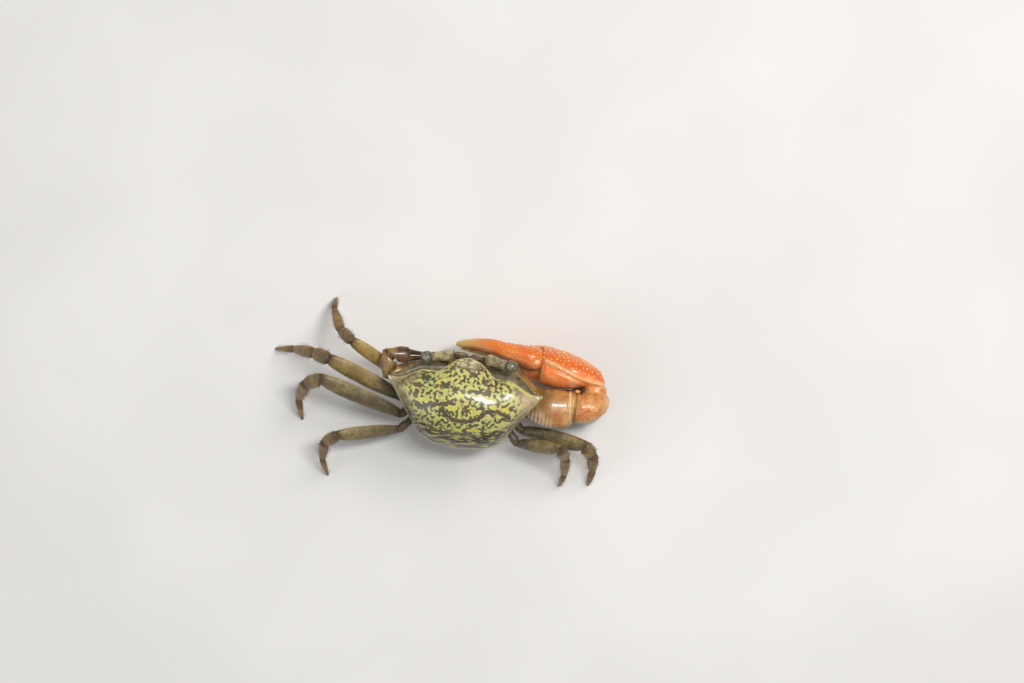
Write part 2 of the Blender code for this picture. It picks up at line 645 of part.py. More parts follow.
# The feeding claw: socket in the trunk, wrist, hand and finger joints.
FEEDING_SOCKET = (HIP_START - JOINT_GAP / 2, -1.0, HIP_LEVEL)
FEEDING_POINTS = ((10.1, -0.3, 9.0), (10.45, -2.85, 9.5), (7.6, -3.0, 9.0), (5.3, -3.25, 8.2))
FEEDING_SECTIONS = {
    "arm": [(0, 1.2, 1.2), (0.35, 1.5, 1.3), (0.75, 1.65, 1.35), (1, 0.8, 0.9)],
    "wrist": [(0, 0.75, 0.85), (0.3, 2.05, 1.4), (0.6, 2.25, 1.5), (1, 0.7, 0.8)],
    "palm": [(0, 0.65, 0.8), (0.25, 1.7, 1.35), (0.6, 2.1, 1.5), (0.85, 2.0, 1.35), (1, 1.6, 1.15)],
    "finger": [(0, 1.5, 1.05), (0.4, 1.3, 0.85), (0.8, 0.95, 0.6), (1, 0.5, 0.35)],
}


def make_feeding_claw(crab):
    skin = ("feeding_claw", LEG_BROWN, 0.3)
    points = [trunk_to_world(FEEDING_SOCKET)] + [Vector(point) for point in FEEDING_POINTS]
    cuts = [Vector((1, 0, 0))]
    for before, at, after in zip(points, points[1:], points[2:]):
        cuts.append(joint_plane(before, at, after))
    cuts.append((points[4] - points[3]).normalized())
    for i, (name, sections) in enumerate(FEEDING_SECTIONS.items()):
        make_limb(
            f"minor_claw_{name}", points[i], points[i + 1], (cuts[i], cuts[i + 1]), 0, sections,
            crab, skin,
        )


# Root and end of each eyestalk, and the length of the eye on it. The left one is folded a little
# further back.
EYESTALKS = {
    "left": ((2.25, -3.75, 11.2), (4.9, -3.2, 13.6), 1.6),
    "right": ((-2.2, -3.8, 11.2), (-4.95, -3.4, 13.6), 1.75),
}
STALK_SECTIONS = [
    (0, 1.2, 1.2), (0.1, 1.55, 1.5), (0.4, 1.4, 1.35), (0.7, 1.15, 1.15), (0.9, 1.2, 1.2),
    (1, 1.15, 1.15),
]
EYE_SECTIONS = [
    (0, 1.2, 1.2), (0.15, 1.45, 1.45), (0.4, 1.6, 1.6), (0.65, 1.45, 1.45), (0.85, 1.0, 1.0),
    (1, 0.35, 0.35),
]


def make_eyes(crab):
    for name, (root, top, length) in EYESTALKS.items():
        base, end = Vector(root), Vector(top)
        axis = (end - base).normalized()
        cuts = (axis, axis)
        stalk = ("eyestalk", LEG_BROWN, 0.3)
        make_limb(f"eyestalk_{name}", base, end, cuts, 0, STALK_SECTIONS, crab, stalk)
        tip = end + axis * length
        make_limb(f"eye_{name}", end, tip, cuts, 0, EYE_SECTIONS, crab, ("eye", EYE_GREY, 0.1))


# Lower and upper end of a mouth plate in the trunk's frame, root and tip of a feeler in the
# crab's, on the left side.
MOUTH_PLATE_ENDS = ((1.25, -2.55, -5.6), (1.25, -3.5, -2.6))
MOUTH_PLATE_SECTIONS = [
    (0, 1.2, 0.5), (0.15, 1.9, 0.55), (0.5, 2.15, 0.6), (0.62, 2.1, 0.5), (0.7, 2.1, 0.6),
    (0.88, 1.8, 0.55), (1, 1.3, 0.5),
]
FEELER_ENDS = ((3.1, -3.65, 10.2), (4.7, -3.75, 10.65))
FEELER_SECTIONS = [(0, 0.55, 0.55), (0.4, 0.5, 0.5), (1, 0.25, 0.25)]


def make_mouth(crab):
    """Outer mouth plates that close the mouth like two doors, and the small feelers."""
    belly = ("mouth_plate", BELLY_TAN, 0.4)
    brown = ("feeler", LEG_BROWN, 0.35)
    for side, name in ((1, "left"), (-1, "right")):
        low, high = [trunk_to_world((side * x, y, z)) for x, y, z in MOUTH_PLATE_ENDS]
        axis = (high - low).normalized()
        make_limb(
            f"maxilliped_{name}", low, high, (axis, axis), 0, MOUTH_PLATE_SECTIONS, crab, belly
        )
        root, tip = [Vector((side * x, y, z)) for x, y, z in FEELER_ENDS]
        axis = (tip - root).normalized()
        make_limb(f"antenna_{name}", root, tip, (axis, axis), 0, FEELER_SECTIONS, crab, brown)


def stand_over_origin(crab):
    """Moves the crab so that the middle of its outline stands over the origin."""
    bpy.context.view_layer.update()
    corners = []
    for made in bpy.data.collections["fiddler_crab"].objects:
        if made.type == "MESH":
            corners += [made.matrix_world @ vertex.co for vertex in made.data.vertices]
    for axis in (0, 1):
        places = [corner[axis] for corner in corners]
        crab.location[axis] -= (min(places) + max(places)) / 2
    crab.location.z -= min(corner.z for corner in corners)


def main():
    for old in list(bpy.data.objects):
        bpy.data.objects.remove(old, do_unlink=True)
    collection = bpy.data.collections.new("fiddler_crab")
    bpy.context.scene.collection.children.link(collection)
    crab = bpy.data.objects.new("crab_root", None)
    trunk = bpy.data.objects.new("trunk_root", None)
    collection.objects.link(crab)
    collection.objects.link(trunk)
    trunk.parent = crab
    trunk.location.z = BODY_HEIGHT * MM
    trunk.rotation_euler.x = -BODY_PITCH
    make_carapace(trunk)
    make_sternum(trunk)
    make_abdomen(trunk)
    make_legs(crab)
    make_great_claw(crab)
    make_feeding_claw(crab)
    make_eyes(crab)
    make_mouth(crab)
    stand_over_origin(crab)


main()
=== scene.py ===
import math

import bmesh
import bpy
import numpy
from mathutils import Matrix, Vector


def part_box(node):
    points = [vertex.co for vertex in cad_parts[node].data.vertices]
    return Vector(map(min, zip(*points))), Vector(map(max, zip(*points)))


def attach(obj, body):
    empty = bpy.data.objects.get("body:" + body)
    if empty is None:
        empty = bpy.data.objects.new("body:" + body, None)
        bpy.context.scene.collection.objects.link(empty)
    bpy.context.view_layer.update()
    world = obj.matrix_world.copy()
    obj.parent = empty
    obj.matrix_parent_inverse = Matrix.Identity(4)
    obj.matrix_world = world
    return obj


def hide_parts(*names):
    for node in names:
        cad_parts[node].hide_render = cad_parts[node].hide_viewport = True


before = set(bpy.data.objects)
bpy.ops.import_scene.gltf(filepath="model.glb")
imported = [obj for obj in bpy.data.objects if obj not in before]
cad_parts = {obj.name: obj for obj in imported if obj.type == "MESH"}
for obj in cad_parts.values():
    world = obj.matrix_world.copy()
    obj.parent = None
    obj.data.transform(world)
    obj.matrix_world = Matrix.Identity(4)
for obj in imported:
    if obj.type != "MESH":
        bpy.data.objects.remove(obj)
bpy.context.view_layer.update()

# The crab stands on eight walking legs, its great right claw folded across the front. Sizes are
# in millimetres in the crab's own frame: +X to its left, +Y to its rear, the trunk pitched up in
# front. The chest plate of the frame gives where that frame stands on the floor.
MM = 0.001
BODY_HEIGHT = 12.0
BODY_PITCH = math.radians(15)
CHEST_FRONT = 3.2865
JOINT_GAP = 0.3
chest_low, chest_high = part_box("sternum")
STANCE = Vector(((chest_low[0] + chest_high[0]) / 2, chest_low[1] + CHEST_FRONT * MM, 0))


def trunk_point(x, y, z):
    """From the trunk's frame to the crab's."""
    turned = Matrix.Rotation(-BODY_PITCH, 3, "X") @ Vector((x, y, z))
    return turned + Vector((0, 0, BODY_HEIGHT))


# Shell of the trunk: one hard case of thin chitin, domed above, with a raised rim, sharp front
# corners and a beaded ridge under each eye groove. It is wet, so that a film of water glosses it.
HALF_BREADTH = 10.0
FRONT_EDGE = [
    (0, -3.51, -1.2), (0.9, -3.31, -1.15), (1.8, -2.97, -0.9), (2.8, -2.22, -0.6),
    (3.8, -1.5, -0.35), (5.5, -1.5, -0.2), (6.7, -1.0, -0.1), (8.0, -0.31, 0), (8.85, -0.05, 0),
    (9.5, -0.1, 0.02), (10, -0.16, 0.05),
]
REAR_EDGE = [
    (0, 8.87, -1.8), (3, 8.53, -1.7), (5.2, 7.41, -1.4), (6.5, 5.49, -0.8), (8.0, 3.2, -0.35),
    (9.2, 1.32, -0.1), (10, 0.12, 0),
]
DOME_HEIGHT = [(0, 4.3), (3, 4.05), (5, 3.1), (6.5, 2.2), (8, 1.2), (9.2, 0.45), (10, 0.12)]
BROW_RIDGE = [
    (0, -2.9, -2.3), (1.5, -2.8, -2.25), (3, -2.6, -2.05), (5.9, -2.15, -1.8), (7.1, -1.55, -1.5),
    (8.05, -0.75, -1.15), (8.8, -0.2, -0.8), (9.5, -0.1, -0.4), (10, -0.1, -0.16),
]
ORBIT_DEPTH = [(0, 0.25), (1.2, 0.4), (2.1, 1.0), (6.5, 0.95), (8, 0.5), (9, 0.12), (10, 0.03)]
BELLY_LEVEL = [
    (0, -5.7), (5.2, -5.7), (5.45, -3.6), (6.5, -2.7), (8, -1.65), (9, -1.0), (9.6, -0.55),
    (10, -0.24),
]
BELLY_FRONT = [
    (0, -1.9), (3, -1.9), (5.2, -1.6), (5.45, -1.3), (7, -0.7), (8, -0.1), (9, 0.05), (10, -0.08),
]
BELLY_REAR = [
    (0, 6.9), (4, 6.9), (5.2, 6.7), (5.45, 6.5), (6.5, 5.7), (7.3, 4.75), (8, 3.3), (9, 1.3),
    (10, 0.06),
]
DOME_FULLNESS = 0.75
SHELL_STEP = 0.11
DORSAL_STEPS = 110
SPAN_STEPS = 4
RIM_HEIGHT = 0.06
RIM_WIDTH = 0.13
RIM_GROOVE = (0.38, 0.2)
FURROW_WIDTH = 0.42
FURROW_DEPTH = 0.07
STOMACH_REACH = 2.7
# Pattern of the back, in the crab's plan: dark strokes with their half-widths, round dark spots,
# the largest yellow patches (centre, half-sizes), green and pale patches (centre, reach) and the
# yellow stroke at the right.
DARK_STROKES = [
    (0.22, [(2.5, 3.15), (2.35, 3.6), (1.82, 4.05)]),
    (0.2, [(1.82, 4.09), (0.7, 4.53), (-0.62, 4.55), (-1.88, 4.12), (-2.84, 3.32)]),
    (0.17, [(5.91, 3.14), (4.95, 3.33), (4.23, 2.84), (3.44, 2.86), (2.04, 2.48)]),
    (0.2, [(-3.16, 2.88), (-4.46, 2.7), (-5.84, 3.17)]),
    (0.13, [(3.0, -0.1), (2.6, 0.5), (2.1, 0.1)]),
    (0.12, [(0.02, -3.4), (0.0, -2.75)]),
    (0.1, [(1.6, -2.6), (0.99, -2.33), (-0.98, -2.4), (-1.6, -2.7)]),
    (0.12, [(2.6, 5.3), (1.2, 6.25), (-1.2, 6.1), (-3.0, 6.4), (-5.0, 5.6)]),
]
DARK_SPOTS = [
    (4.94, -0.42, 0.33), (-2.26, -0.89, 0.3), (-2.96, 0.33, 0.34), (6.3, 1.9, 0.3), (1.24, 0.6, 0.25),
]
YELLOW_PATCHES = [
    (2.12, 5.66, 0.6, 0.3), (0.0, 5.65, 0.62, 0.2), (-1.93, 5.45, 0.75, 0.22), (-2.43, 6.2, 0.35, 0.25),
    (1.45, 2.98, 0.55, 0.4), (-1.5, 3.2, 0.7, 0.28), (5.3, 2.45, 0.8, 0.32), (-5.6, 2.3, 0.75, 0.38),
    (0.6, 1.3, 0.45, 0.42), (3.4, 0.0, 0.3, 0.5), (-3.9, 2.2, 0.5, 0.3),
]
GREEN_PATCHES = [(-3.62, 5.2, 1.5), (3.9, 4.9, 1.4), (4.2, 0.2, 1.3), (-4.6, -0.6, 1.2), (0.3, 6.9, 1.6)]
PALE_PATCHES = [(0.6, -2.85, 0.6), (-0.6, -2.85, 0.6), (-8.0, 0.8, 1.6)]
YELLOW_STROKE = [(-5.35, -1.2), (-6.4, -0.95), (-7.7, -0.25), (-8.4, 0.1)]


def smooth_value(keys, place, column=1):
    """Height at a place on the smooth curve through the keys, which never overshoots them."""
    places = [key[0] for key in keys]
    values = [key[column] for key in keys]
    if place >= places[-1]:
        return values[-1]
    steps = [(b - a) / (q - p) for a, b, p, q in zip(values, values[1:], places, places[1:])]
    slopes = [steps[0]]
    for before, after in zip(steps, steps[1:]):
        slopes.append(2 * before * after / (before + after) if before * after > 0 else 0)
    slopes.append(steps[-1])
    i = max(k for k, p in enumerate(places) if p <= max(place, places[0]))
    width = places[i + 1] - places[i]
    t = (max(place, places[0]) - places[i]) / width
    rise = values[i + 1] - values[i]
    bend_in = slopes[i] * width - rise
    bend_out = rise - slopes[i + 1] * width
    return values[i] + rise * t + t * (1 - t) * (bend_in * (1 - t) + bend_out * t)


def smooth_values(keys, place):
    """Heights at a place on all the curves of a table of keys."""
    return [smooth_value(keys, place, column) for column in range(1, len(keys[0]))]


def stations(first, last, step):
    """Places from first to last at even steps no longer than the one given."""
    count = math.ceil((last - first) / step)
    return [first + (last - first) * i / count for i in range(count + 1)]


def swell(distance, width):
    """Soft hump that is 1 at no distance and fades over the width."""
    return math.exp(-((distance / width) ** 2))


def fade(value, near, far):
    """From 1 at the near value to 0 at the far one."""
    share = min(max((value - near) / (far - near), 0), 1)
    return 1 - share * share * (3 - 2 * share)


def line_distance(line, x, y):
    """Shortest distance in plan from a place to a line of points."""
    best = 1e9
    for (ax, ay), (bx, by) in zip(line, line[1:]):
        dx, dy = bx - ax, by - ay
        share = ((x - ax) * dx + (y - ay) * dy) / (dx * dx + dy * dy)
        share = min(max(share, 0), 1)
        best = min(best, math.hypot(x - ax - share * dx, y - ay - share * dy))
    return best


def rounded(points, steps):
    """Smooth curve through the points, without the first and the last of them."""
    path = []
    for i in range(len(points) - 3):
        a, b, c, d = points[i : i + 4]
        for k in range(steps):
            t = k / steps
            for_b = 1 - 2.5 * t * t + 1.5 * t**3
            for_c = 0.5 * t + 2 * t * t - 1.5 * t**3
            for_a = -0.5 * t + t * t - 0.5 * t**3
            for_d = -0.5 * t * t + 0.5 * t**3
            path.append(
                tuple(for_a * p + for_b * q + for_c * r + for_d * s for p, q, r, s in zip(a, b, c, d))
            )
    return path


def make_piece(name, bodies, material, marks=None):
    """One mesh of lofted bodies, each a list of rings in the crab's millimetres that run the
    same way round. Marks are named lists of a value for each ring point, for the material."""
    points = []
    faces = []
    values = {mark: [] for mark in marks or {}}
    for number, rings in enumerate(bodies):
        start = len(points)
        count = len(rings[0])
        for row, ring in enumerate(rings):
            points += [STANCE + Vector(point) * MM for point in ring]
            for mark in values:
                values[mark] += marks[mark][number][row]
        for row in range(len(rings) - 1):
            first = start + row * count
            for i in range(count):
                j = (i + 1) % count
                faces.append((first + i, first + j, first + count + j, first + count + i))
        for row, turn in ((0, -1), (len(rings) - 1, 1)):
            first = start + row * count
            centre = sum((points[first + i] for i in range(count)), Vector()) / count
            points.append(centre)
            for mark in values:
                values[mark].append(sum(marks[mark][number][row]) / count)
            for i in range(count):
                corners = (first + i, first + (i + 1) % count, len(points) - 1)
                faces.append(corners[::turn])
    mesh = bpy.data.meshes.new(name)
    mesh.from_pydata(points, [], faces)
    mesh.validate()
    shape = bmesh.new()
    shape.from_mesh(mesh)
    bmesh.ops.recalc_face_normals(shape, faces=shape.faces[:])
    shape.to_mesh(mesh)
    shape.free()
    for mark, numbers in values.items():
        mesh.attributes.new(mark, "FLOAT", "POINT").data.foreach_set("value", numbers)
    mesh.shade_smooth()
    mesh.materials.append(material)
    piece = bpy.data.objects.new(name, mesh)
    bpy.context.scene.collection.objects.link(piece)
    return piece


def make_case(name, rings, material, marks=None):
    """One mesh of a single body. Its marks have a row of values for each ring."""
    return make_piece(name, [rings], material, {mark: [rows] for mark, rows in (marks or {}).items()})


def colour(text):
    """Linear colour from an sRGB hex value."""
    parts = [int(text[i : i + 2], 16) / 255 for i in (0, 2, 4)]
    return (*[p / 12.92 if p <= 0.04045 else ((p + 0.055) / 1.055) ** 2.4 for p in parts], 1)


def add_node(tree, kind, inputs=None, **settings):
    """Adds a node, sets what it is told and links or fills its inputs."""
    made = tree.nodes.new(kind)
    for name, value in settings.items():
        setattr(made, name, value)
    for name, value in (inputs or {}).items():
        if isinstance(value, bpy.types.NodeSocket):
            tree.links.new(value, made.inputs[name])
        else:
            made.inputs[name].default_value = value
    return made


def start_material(name, **shader_values):
    """New material: gives it, its tree, its shader and the places that its patterns read."""
    material = bpy.data.materials.new(name)
    material.use_nodes = True
    tree = material.node_tree
    shader = tree.nodes["Principled BSDF"]
    for socket, value in shader_values.items():
        shader.inputs[socket.replace("_", " ")].default_value = value
    place = add_node(tree, "ShaderNodeTexCoord").outputs["Object"]
    return material, tree, shader, place


def mottling(tree, place, size_mm, low, high, detail=2.0, distortion=0.0):
    """Patches of a real size: 0 outside them and 1 inside, with soft or sharp edges."""
    noise = add_node(
        tree, "ShaderNodeTexNoise",
        {"Vector": place, "Scale": 1 / (size_mm * MM), "Detail": detail, "Distortion": distortion},
    )
    patches = add_node(
        tree, "ShaderNodeMapRange",
        {"Value": noise.outputs["Fac"], "From Min": low, "From Max": high},
        interpolation_type="SMOOTHSTEP",
    )
    return patches.outputs["Result"]


def tinted(tree, skin, tint, where, most=1.0, between=None, fall="SMOOTHSTEP"):
    """Skin colour with a tint over it where a mark of the piece or a pattern says, at most as
    strong as given. Two values between which the tint comes on may be given too."""
    if isinstance(where, str):
        where = add_node(tree, "ShaderNodeAttribute", attribute_name=where).outputs["Fac"]
    if between:
        ends = {"Value": where, "From Min": between[0], "From Max": between[1]}
        where = add_node(tree, "ShaderNodeMapRange", ends, interpolation_type=fall).outputs["Result"]
    if most < 1:
        where = add_node(tree, "ShaderNodeMath", {0: where, 1: most}, operation="MULTIPLY").outputs[0]
    skin, tint = [colour(tone) if isinstance(tone, str) else tone for tone in (skin, tint)]
    mixed = add_node(tree, "ShaderNodeMix", {0: where, 6: skin, 7: tint}, data_type="RGBA")
    return mixed.outputs[2]


def fine_relief(tree, shader, place, size_mm, strength, depth_mm, **noise_values):
    """Fine grain of a surface, of a real size and depth, as small dents in its gloss."""
    grain = add_node(
        tree, "ShaderNodeTexNoise",
        {"Vector": place, "Scale": 1 / (size_mm * MM), "Detail": 3.0, **noise_values},
    )
    dents = add_node(
        tree, "ShaderNodeBump",
        {"Height": grain.outputs["Fac"], "Strength": strength, "Distance": depth_mm * MM},
    )
    tree.links.new(dents.outputs["Normal"], shader.inputs["Normal"])


# Bends of the rear wall and of the cheek: how far each lies on the way across and up or down.
REAR_WALL = [(0.25, 0.3), (0.65, 0.65)]
CHEEK = [(0.4, 0.35), (0.8, 0.7)]


def shell_profile(across):
    """Outline of the trunk in a plane of constant breadth, in the trunk's frame: the back
    first, then the rear wall, the belly, the cheek, the beaded ridge and the eye groove."""
    x = abs(across)
    front, rear, brow = [smooth_values(keys, x) for keys in (FRONT_EDGE, REAR_EDGE, BROW_RIDGE)]
    dome, orbit, belly, belly_front, belly_rear = [
        smooth_value(keys, x)
        for keys in (DOME_HEIGHT, ORBIT_DEPTH, BELLY_LEVEL, BELLY_FRONT, BELLY_REAR)
    ]
    back = []
    for step in range(DORSAL_STEPS):
        share = 0.5 - 0.5 * math.cos(math.pi * step / (DORSAL_STEPS - 1))
        y = front[0] + (rear[0] - front[0]) * share
        rise = dome * (4 * share * (1 - share)) ** DOME_FULLNESS
        back.append((y, front[1] + (rear[1] - front[1]) * share + rise))
    wall = rear[1] - belly
    cheek = brow[1] - belly
    lid = front[1] - brow[1]
    rest = [back[-2], back[-1], (rear[0] - 0.03 * wall, rear[1] - 0.08 * wall)]
    rest += [(rear[0] + (belly_rear - rear[0]) * out, rear[1] - wall * down) for out, down in REAR_WALL]
    rest += [(belly_rear + (belly_front - belly_rear) * share, belly) for share in (0, 0.33, 0.67, 1)]
    rest += [(belly_front + (brow[0] - belly_front) * out, belly + cheek * up) for out, up in CHEEK]
    # Round the beaded ridge, into the eye groove and out again under the rim of the back.
    rest += [
        (brow[0], brow[1] - 0.04 * cheek),
        (brow[0] + 0.12 * orbit, brow[1] + 0.04 * cheek),
        (brow[0] + orbit, brow[1] + 0.12 * lid),
        (front[0] + orbit, front[1] - 0.35 * lid),
        (front[0] + 0.15 * orbit, front[1] - 0.12 * lid),
        back[0], back[1],
    ]
    return back, rounded(rest, SPAN_STEPS)[1:]


def furrow_depth(x, y):
    """Depth of the furrows round the stomach and the heart, at a place on the back."""
    crescent = swell(y - 4.45 + 0.2 * x * x, FURROW_WIDTH) * fade(x, STOMACH_REACH, 3.3)
    beside = swell(x - STOMACH_REACH - 0.12 * (y - 3), FURROW_WIDTH)
    beside *= fade(y, 5.4, 6.6) * fade(-y, -1.4, 0.2)
    outward = swell(y - 2.4 - 0.2 * (x - STOMACH_REACH), FURROW_WIDTH) * fade(x, 5.2, 6.4)
    outward *= fade(-x, -3.0, -2.4)
    return FURROW_DEPTH * min(1, crescent + 0.7 * beside + 0.6 * outward)


shell_places = [x * HALF_BREADTH for x in stations(-1, 1, SHELL_STEP / HALF_BREADTH)]
shell_profiles = [shell_profile(x) for x in shell_places]
# The wet back reflects every dent, so away from its edges it takes the mean height of the places
# around it. The heights are spread out on a square grid for that.
EVEN_REACH = 0.9
EVEN_STEPS = 27
EVEN_FROM_EDGE = (0.4, 2.2)
GRID_STEP = 0.1
GRID_ENDS = (-5, 11)
grid_y = numpy.arange(*GRID_ENDS, GRID_STEP)
heights = numpy.array(
    [numpy.interp(grid_y, *zip(*back), left=0, right=0) for back, _ in shell_profiles]
)
inside = numpy.array(
    [(grid_y >= back[0][0]) & (grid_y <= back[-1][0]) for back, _ in shell_profiles], float
)
evened = []
for values in (heights * inside, inside):
    for step in (GRID_STEP, SHELL_STEP):
        reach = numpy.arange(-EVEN_STEPS, EVEN_STEPS + 1) * step / EVEN_REACH
        weights = numpy.exp(-0.5 * reach**2)
        weights /= weights.sum()
        values = numpy.array([numpy.convolve(row, weights, "same") for row in values]).T
    evened.append(values)
evened = evened[0] / numpy.maximum(evened[1], 1e-6)

OUTLINE_STEP = 0.4
outline = []
for way, edge_keys in ((1, FRONT_EDGE), (-1, REAR_EDGE)):
    for x in stations(-HALF_BREADTH, HALF_BREADTH, OUTLINE_STEP)[::way]:
        outline.append(trunk_point(x, *smooth_values(edge_keys, abs(x)))[:2])
# The plain margin: its breadth at the rear, what it gains at the left and at the right side, and
# where it ends in front.
MARGIN_BREADTH = 0.3
MARGIN_AT_SIDES = (1.1, 0.8)
MARGIN_FRONT = (-1.2, -0.4)
# The streaked rear lies behind an arc: its curve and where it comes on.
REAR_CURVE = 0.055
REAR_FROM = (6.1, 6.8)
MARKS = ("edge", "under", "stroke", "patch", "yellow", "rear", "plain", "green", "pale")
# Below the rim there are no strokes or patches, only the dull wall.
BELOW_THE_RIM = {"stroke": -1, "patch": -1, "plain": 1}


def back_marks(x, y):
    """Values of the back's pattern at a place in plan."""
    edge = line_distance(outline, x, y)
    dark = [width - line_distance(line, x, y) for width, line in DARK_STROKES]
    dark += [reach - math.hypot(x - a, y - b) for a, b, reach in DARK_SPOTS]
    patch = [1 - math.hypot((x - a) / p, (y - b) / q) for a, b, p, q in YELLOW_PATCHES]
    green, pale = [
        max(swell(math.hypot(x - a, y - b), reach) for a, b, reach in patches)
        for patches in (GREEN_PATCHES, PALE_PATCHES)
    ]
    margin = MARGIN_AT_SIDES[0 if x > 0 else 1] * fade(y, 4.5, 7.5) * (1 - fade(abs(x), 4.5, 7))
    margin = (MARGIN_BREADTH + margin) * (1 - fade(y, *MARGIN_FRONT))
    return {
        "edge": edge, "under": 0, "stroke": max(dark), "patch": max(*patch, -1),
        "yellow": swell(line_distance(YELLOW_STROKE, x, y), 0.15),
        "rear": 1 - fade(y + REAR_CURVE * x**2, *REAR_FROM),
        "plain": fade(edge, 0.55 * margin, 1.15 * margin + 0.1),
        "green": green, "pale": pale,
    }


shell_rings = []
shell_marks = {name: [] for name in MARKS}
for x, (back, rest), even in zip(shell_places, shell_profiles, evened):
    ring = []
    found = []
    for y, z in back:
        at = trunk_point(x, y, z)
        found.append(back_marks(at.x, at.y))
        edge = found[-1]["edge"]
        z += (numpy.interp(y, grid_y, even) - z) * (1 - fade(edge, *EVEN_FROM_EDGE))
        z += RIM_HEIGHT * (swell(edge, RIM_WIDTH) - swell(edge - RIM_GROOVE[0], RIM_GROOVE[1]))
        z -= furrow_depth(abs(x), y)
        ring.append(trunk_point(x, y, z))
    count = len(rest)
    for i, (y, z) in enumerate(rest):
        ring.append(trunk_point(x, y, z))
        found.append({**BELOW_THE_RIM, "under": min(1, 0.3 + 2.2 * min(i, count - 1 - i) / count)})
    shell_rings.append(ring)
    for name in MARKS:
        shell_marks[name].append([values.get(name, 0) for values in found])

# Mottled wet chitin. The colour lies in the shell below a clear skin: rounded yellow patches about
# 0.5 mm across on grey-olive, with dark blots between them, and a film of water glosses it all.
COBBLE = 0.58
BLOT = 0.42
RAGGED = {"patch": 1.8, "stroke": 0.9}
shell_skin, tree, shader, place = start_material(
    "mottled_wet_chitin", Coat_Roughness=0.08, Coat_IOR=1.38
)
marked = {
    name: add_node(tree, "ShaderNodeAttribute", attribute_name=name).outputs["Fac"] for name in MARKS
}


def raised(tree, pattern, where, low, high, by):
    """Pattern lifted by an amount where another value passes from the low to the high one."""
    lift = add_node(
        tree, "ShaderNodeMapRange",
        {"Value": where, "From Min": low, "From Max": high, "To Max": by},
        interpolation_type="SMOOTHSTEP",
    )
    total = add_node(tree, "ShaderNodeMath", {0: pattern, 1: lift.outputs["Result"]}, operation="ADD")
    return total.outputs[0]


# The pattern is high in the yellow and low in the dark. Blots of noise and rounded cobbles give
# its grain, and make the edges of the marked patches and strokes ragged.
wobble = add_node(
    tree, "ShaderNodeTexNoise", {"Vector": place, "Scale": 1 / (0.9 * MM), "Detail": 0.0}
).outputs["Color"]
shaken = add_node(
    tree, "ShaderNodeVectorMath", {0: wobble, 1: [0.35 * MM] * 3, 2: place}, operation="MULTIPLY_ADD"
).outputs[0]
cobbles = add_node(
    tree, "ShaderNodeTexVoronoi", {"Vector": shaken, "Scale": 1 / (COBBLE * MM), "Smoothness": 0.4},
    feature="SMOOTH_F1",
).outputs["Distance"]
blots = add_node(
    tree, "ShaderNodeTexNoise", {"Vector": place, "Scale": 1 / (BLOT * MM), "Detail": 0.0}
).outputs["Fac"]
pattern = add_node(
    tree, "ShaderNodeMath", {0: cobbles, 1: -0.3, 2: blots}, operation="MULTIPLY_ADD"
).outputs[0]
patch, stroke = [
    add_node(
        tree, "ShaderNodeMath", {0: blots, 1: rag, 2: marked[name]}, operation="MULTIPLY_ADD"
    ).outputs[0]
    for name, rag in RAGGED.items()
]
pattern = raised(tree, pattern, patch, 0.45, 1.25, 0.2)
# A yellow patch has a darker ring round it.
pattern = raised(tree, pattern, patch, 0.0, 0.55, -0.08)
pattern = raised(tree, pattern, patch, 0.6, 1.0, 0.08)
pattern = raised(tree, pattern, stroke, 0.42, 0.56, -0.5)

green = add_node(
    tree, "ShaderNodeMath", {0: marked["green"], 1: mottling(tree, place, 1.6, 0.38, 0.6, 1.0)},
    operation="MULTIPLY",
).outputs[0]
cloud, freckle = [
    add_node(
        tree, "ShaderNodeTexNoise",
        {"Vector": place, "Scale": 1 / (size * MM), "Detail": 1.0, "Roughness": 0.45},
    ).outputs["Fac"]
    for size in (1.0, 0.2)
]
yellow = tinted(tree, "CCC766", "B9C277", cloud)
yellow = tinted(tree, yellow, "7EA462", green, 0.75)
yellow = tinted(tree, yellow, "CDB27A", mottling(tree, place, 1.3, 0.55, 0.68, 0.0), 0.6)
yellow = tinted(tree, yellow, "D0C548", patch, between=(0.8, 1.5))
yellow = tinted(tree, yellow, "93894F", freckle, 0.45, between=(0.5, 0.66))
olive = tinted(tree, "8D8659", "64805A", green, 0.6)
dark = tinted(tree, "544D38", "65563B", mottling(tree, place, 2.2, 0.45, 0.6, 1.0))
skin = tinted(tree, dark, olive, pattern, between=(0.23, 0.31))
skin = tinted(tree, skin, yellow, pattern, between=(0.29, 0.39))

# Round the back lie a plain margin, pale corners, a streaked rear and a pale rim. The walls and the
# belly below are dull.
margin = tinted(tree, "95875B", "5F5539", mottling(tree, place, 0.7, 0.46, 0.66))
skin = tinted(tree, skin, margin, marked["plain"])
skin = tinted(tree, skin, "CDB893", marked["pale"], 0.62)
stretched = add_node(tree, "ShaderNodeMapping", {"Vector": place, "Scale": (0.35, 1.2, 1.0)})
streak = mottling(tree, stretched.outputs["Vector"], 0.42, 0.4, 0.5, 2.0, 0.2)
above = add_node(tree, "ShaderNodeMath", {0: 1.0, 1: marked["under"]}, operation="SUBTRACT").outputs[0]
rim = add_node(
    tree, "ShaderNodeMapRange", {"Value": marked["edge"], "From Min": 0.2, "From Max": 0.06},
    interpolation_type="SMOOTHSTEP",
).outputs["Result"]
rear, rim = [
    add_node(tree, "ShaderNodeMath", {0: value, 1: above}, operation="MULTIPLY").outputs[0]
    for value in (marked["rear"], rim)
]
skin = tinted(tree, skin, tinted(tree, "A89D4A", "28241B", streak), rear)
skin = tinted(tree, skin, "CFCB66", marked["yellow"], 0.85)
skin = tinted(tree, skin, "BDAE7C", rim, 0.6)
wall = tinted(tree, "6E6242", "3B3326", mottling(tree, place, 0.55, 0.42, 0.6, 3.0))
skin = tinted(tree, skin, wall, marked["under"])
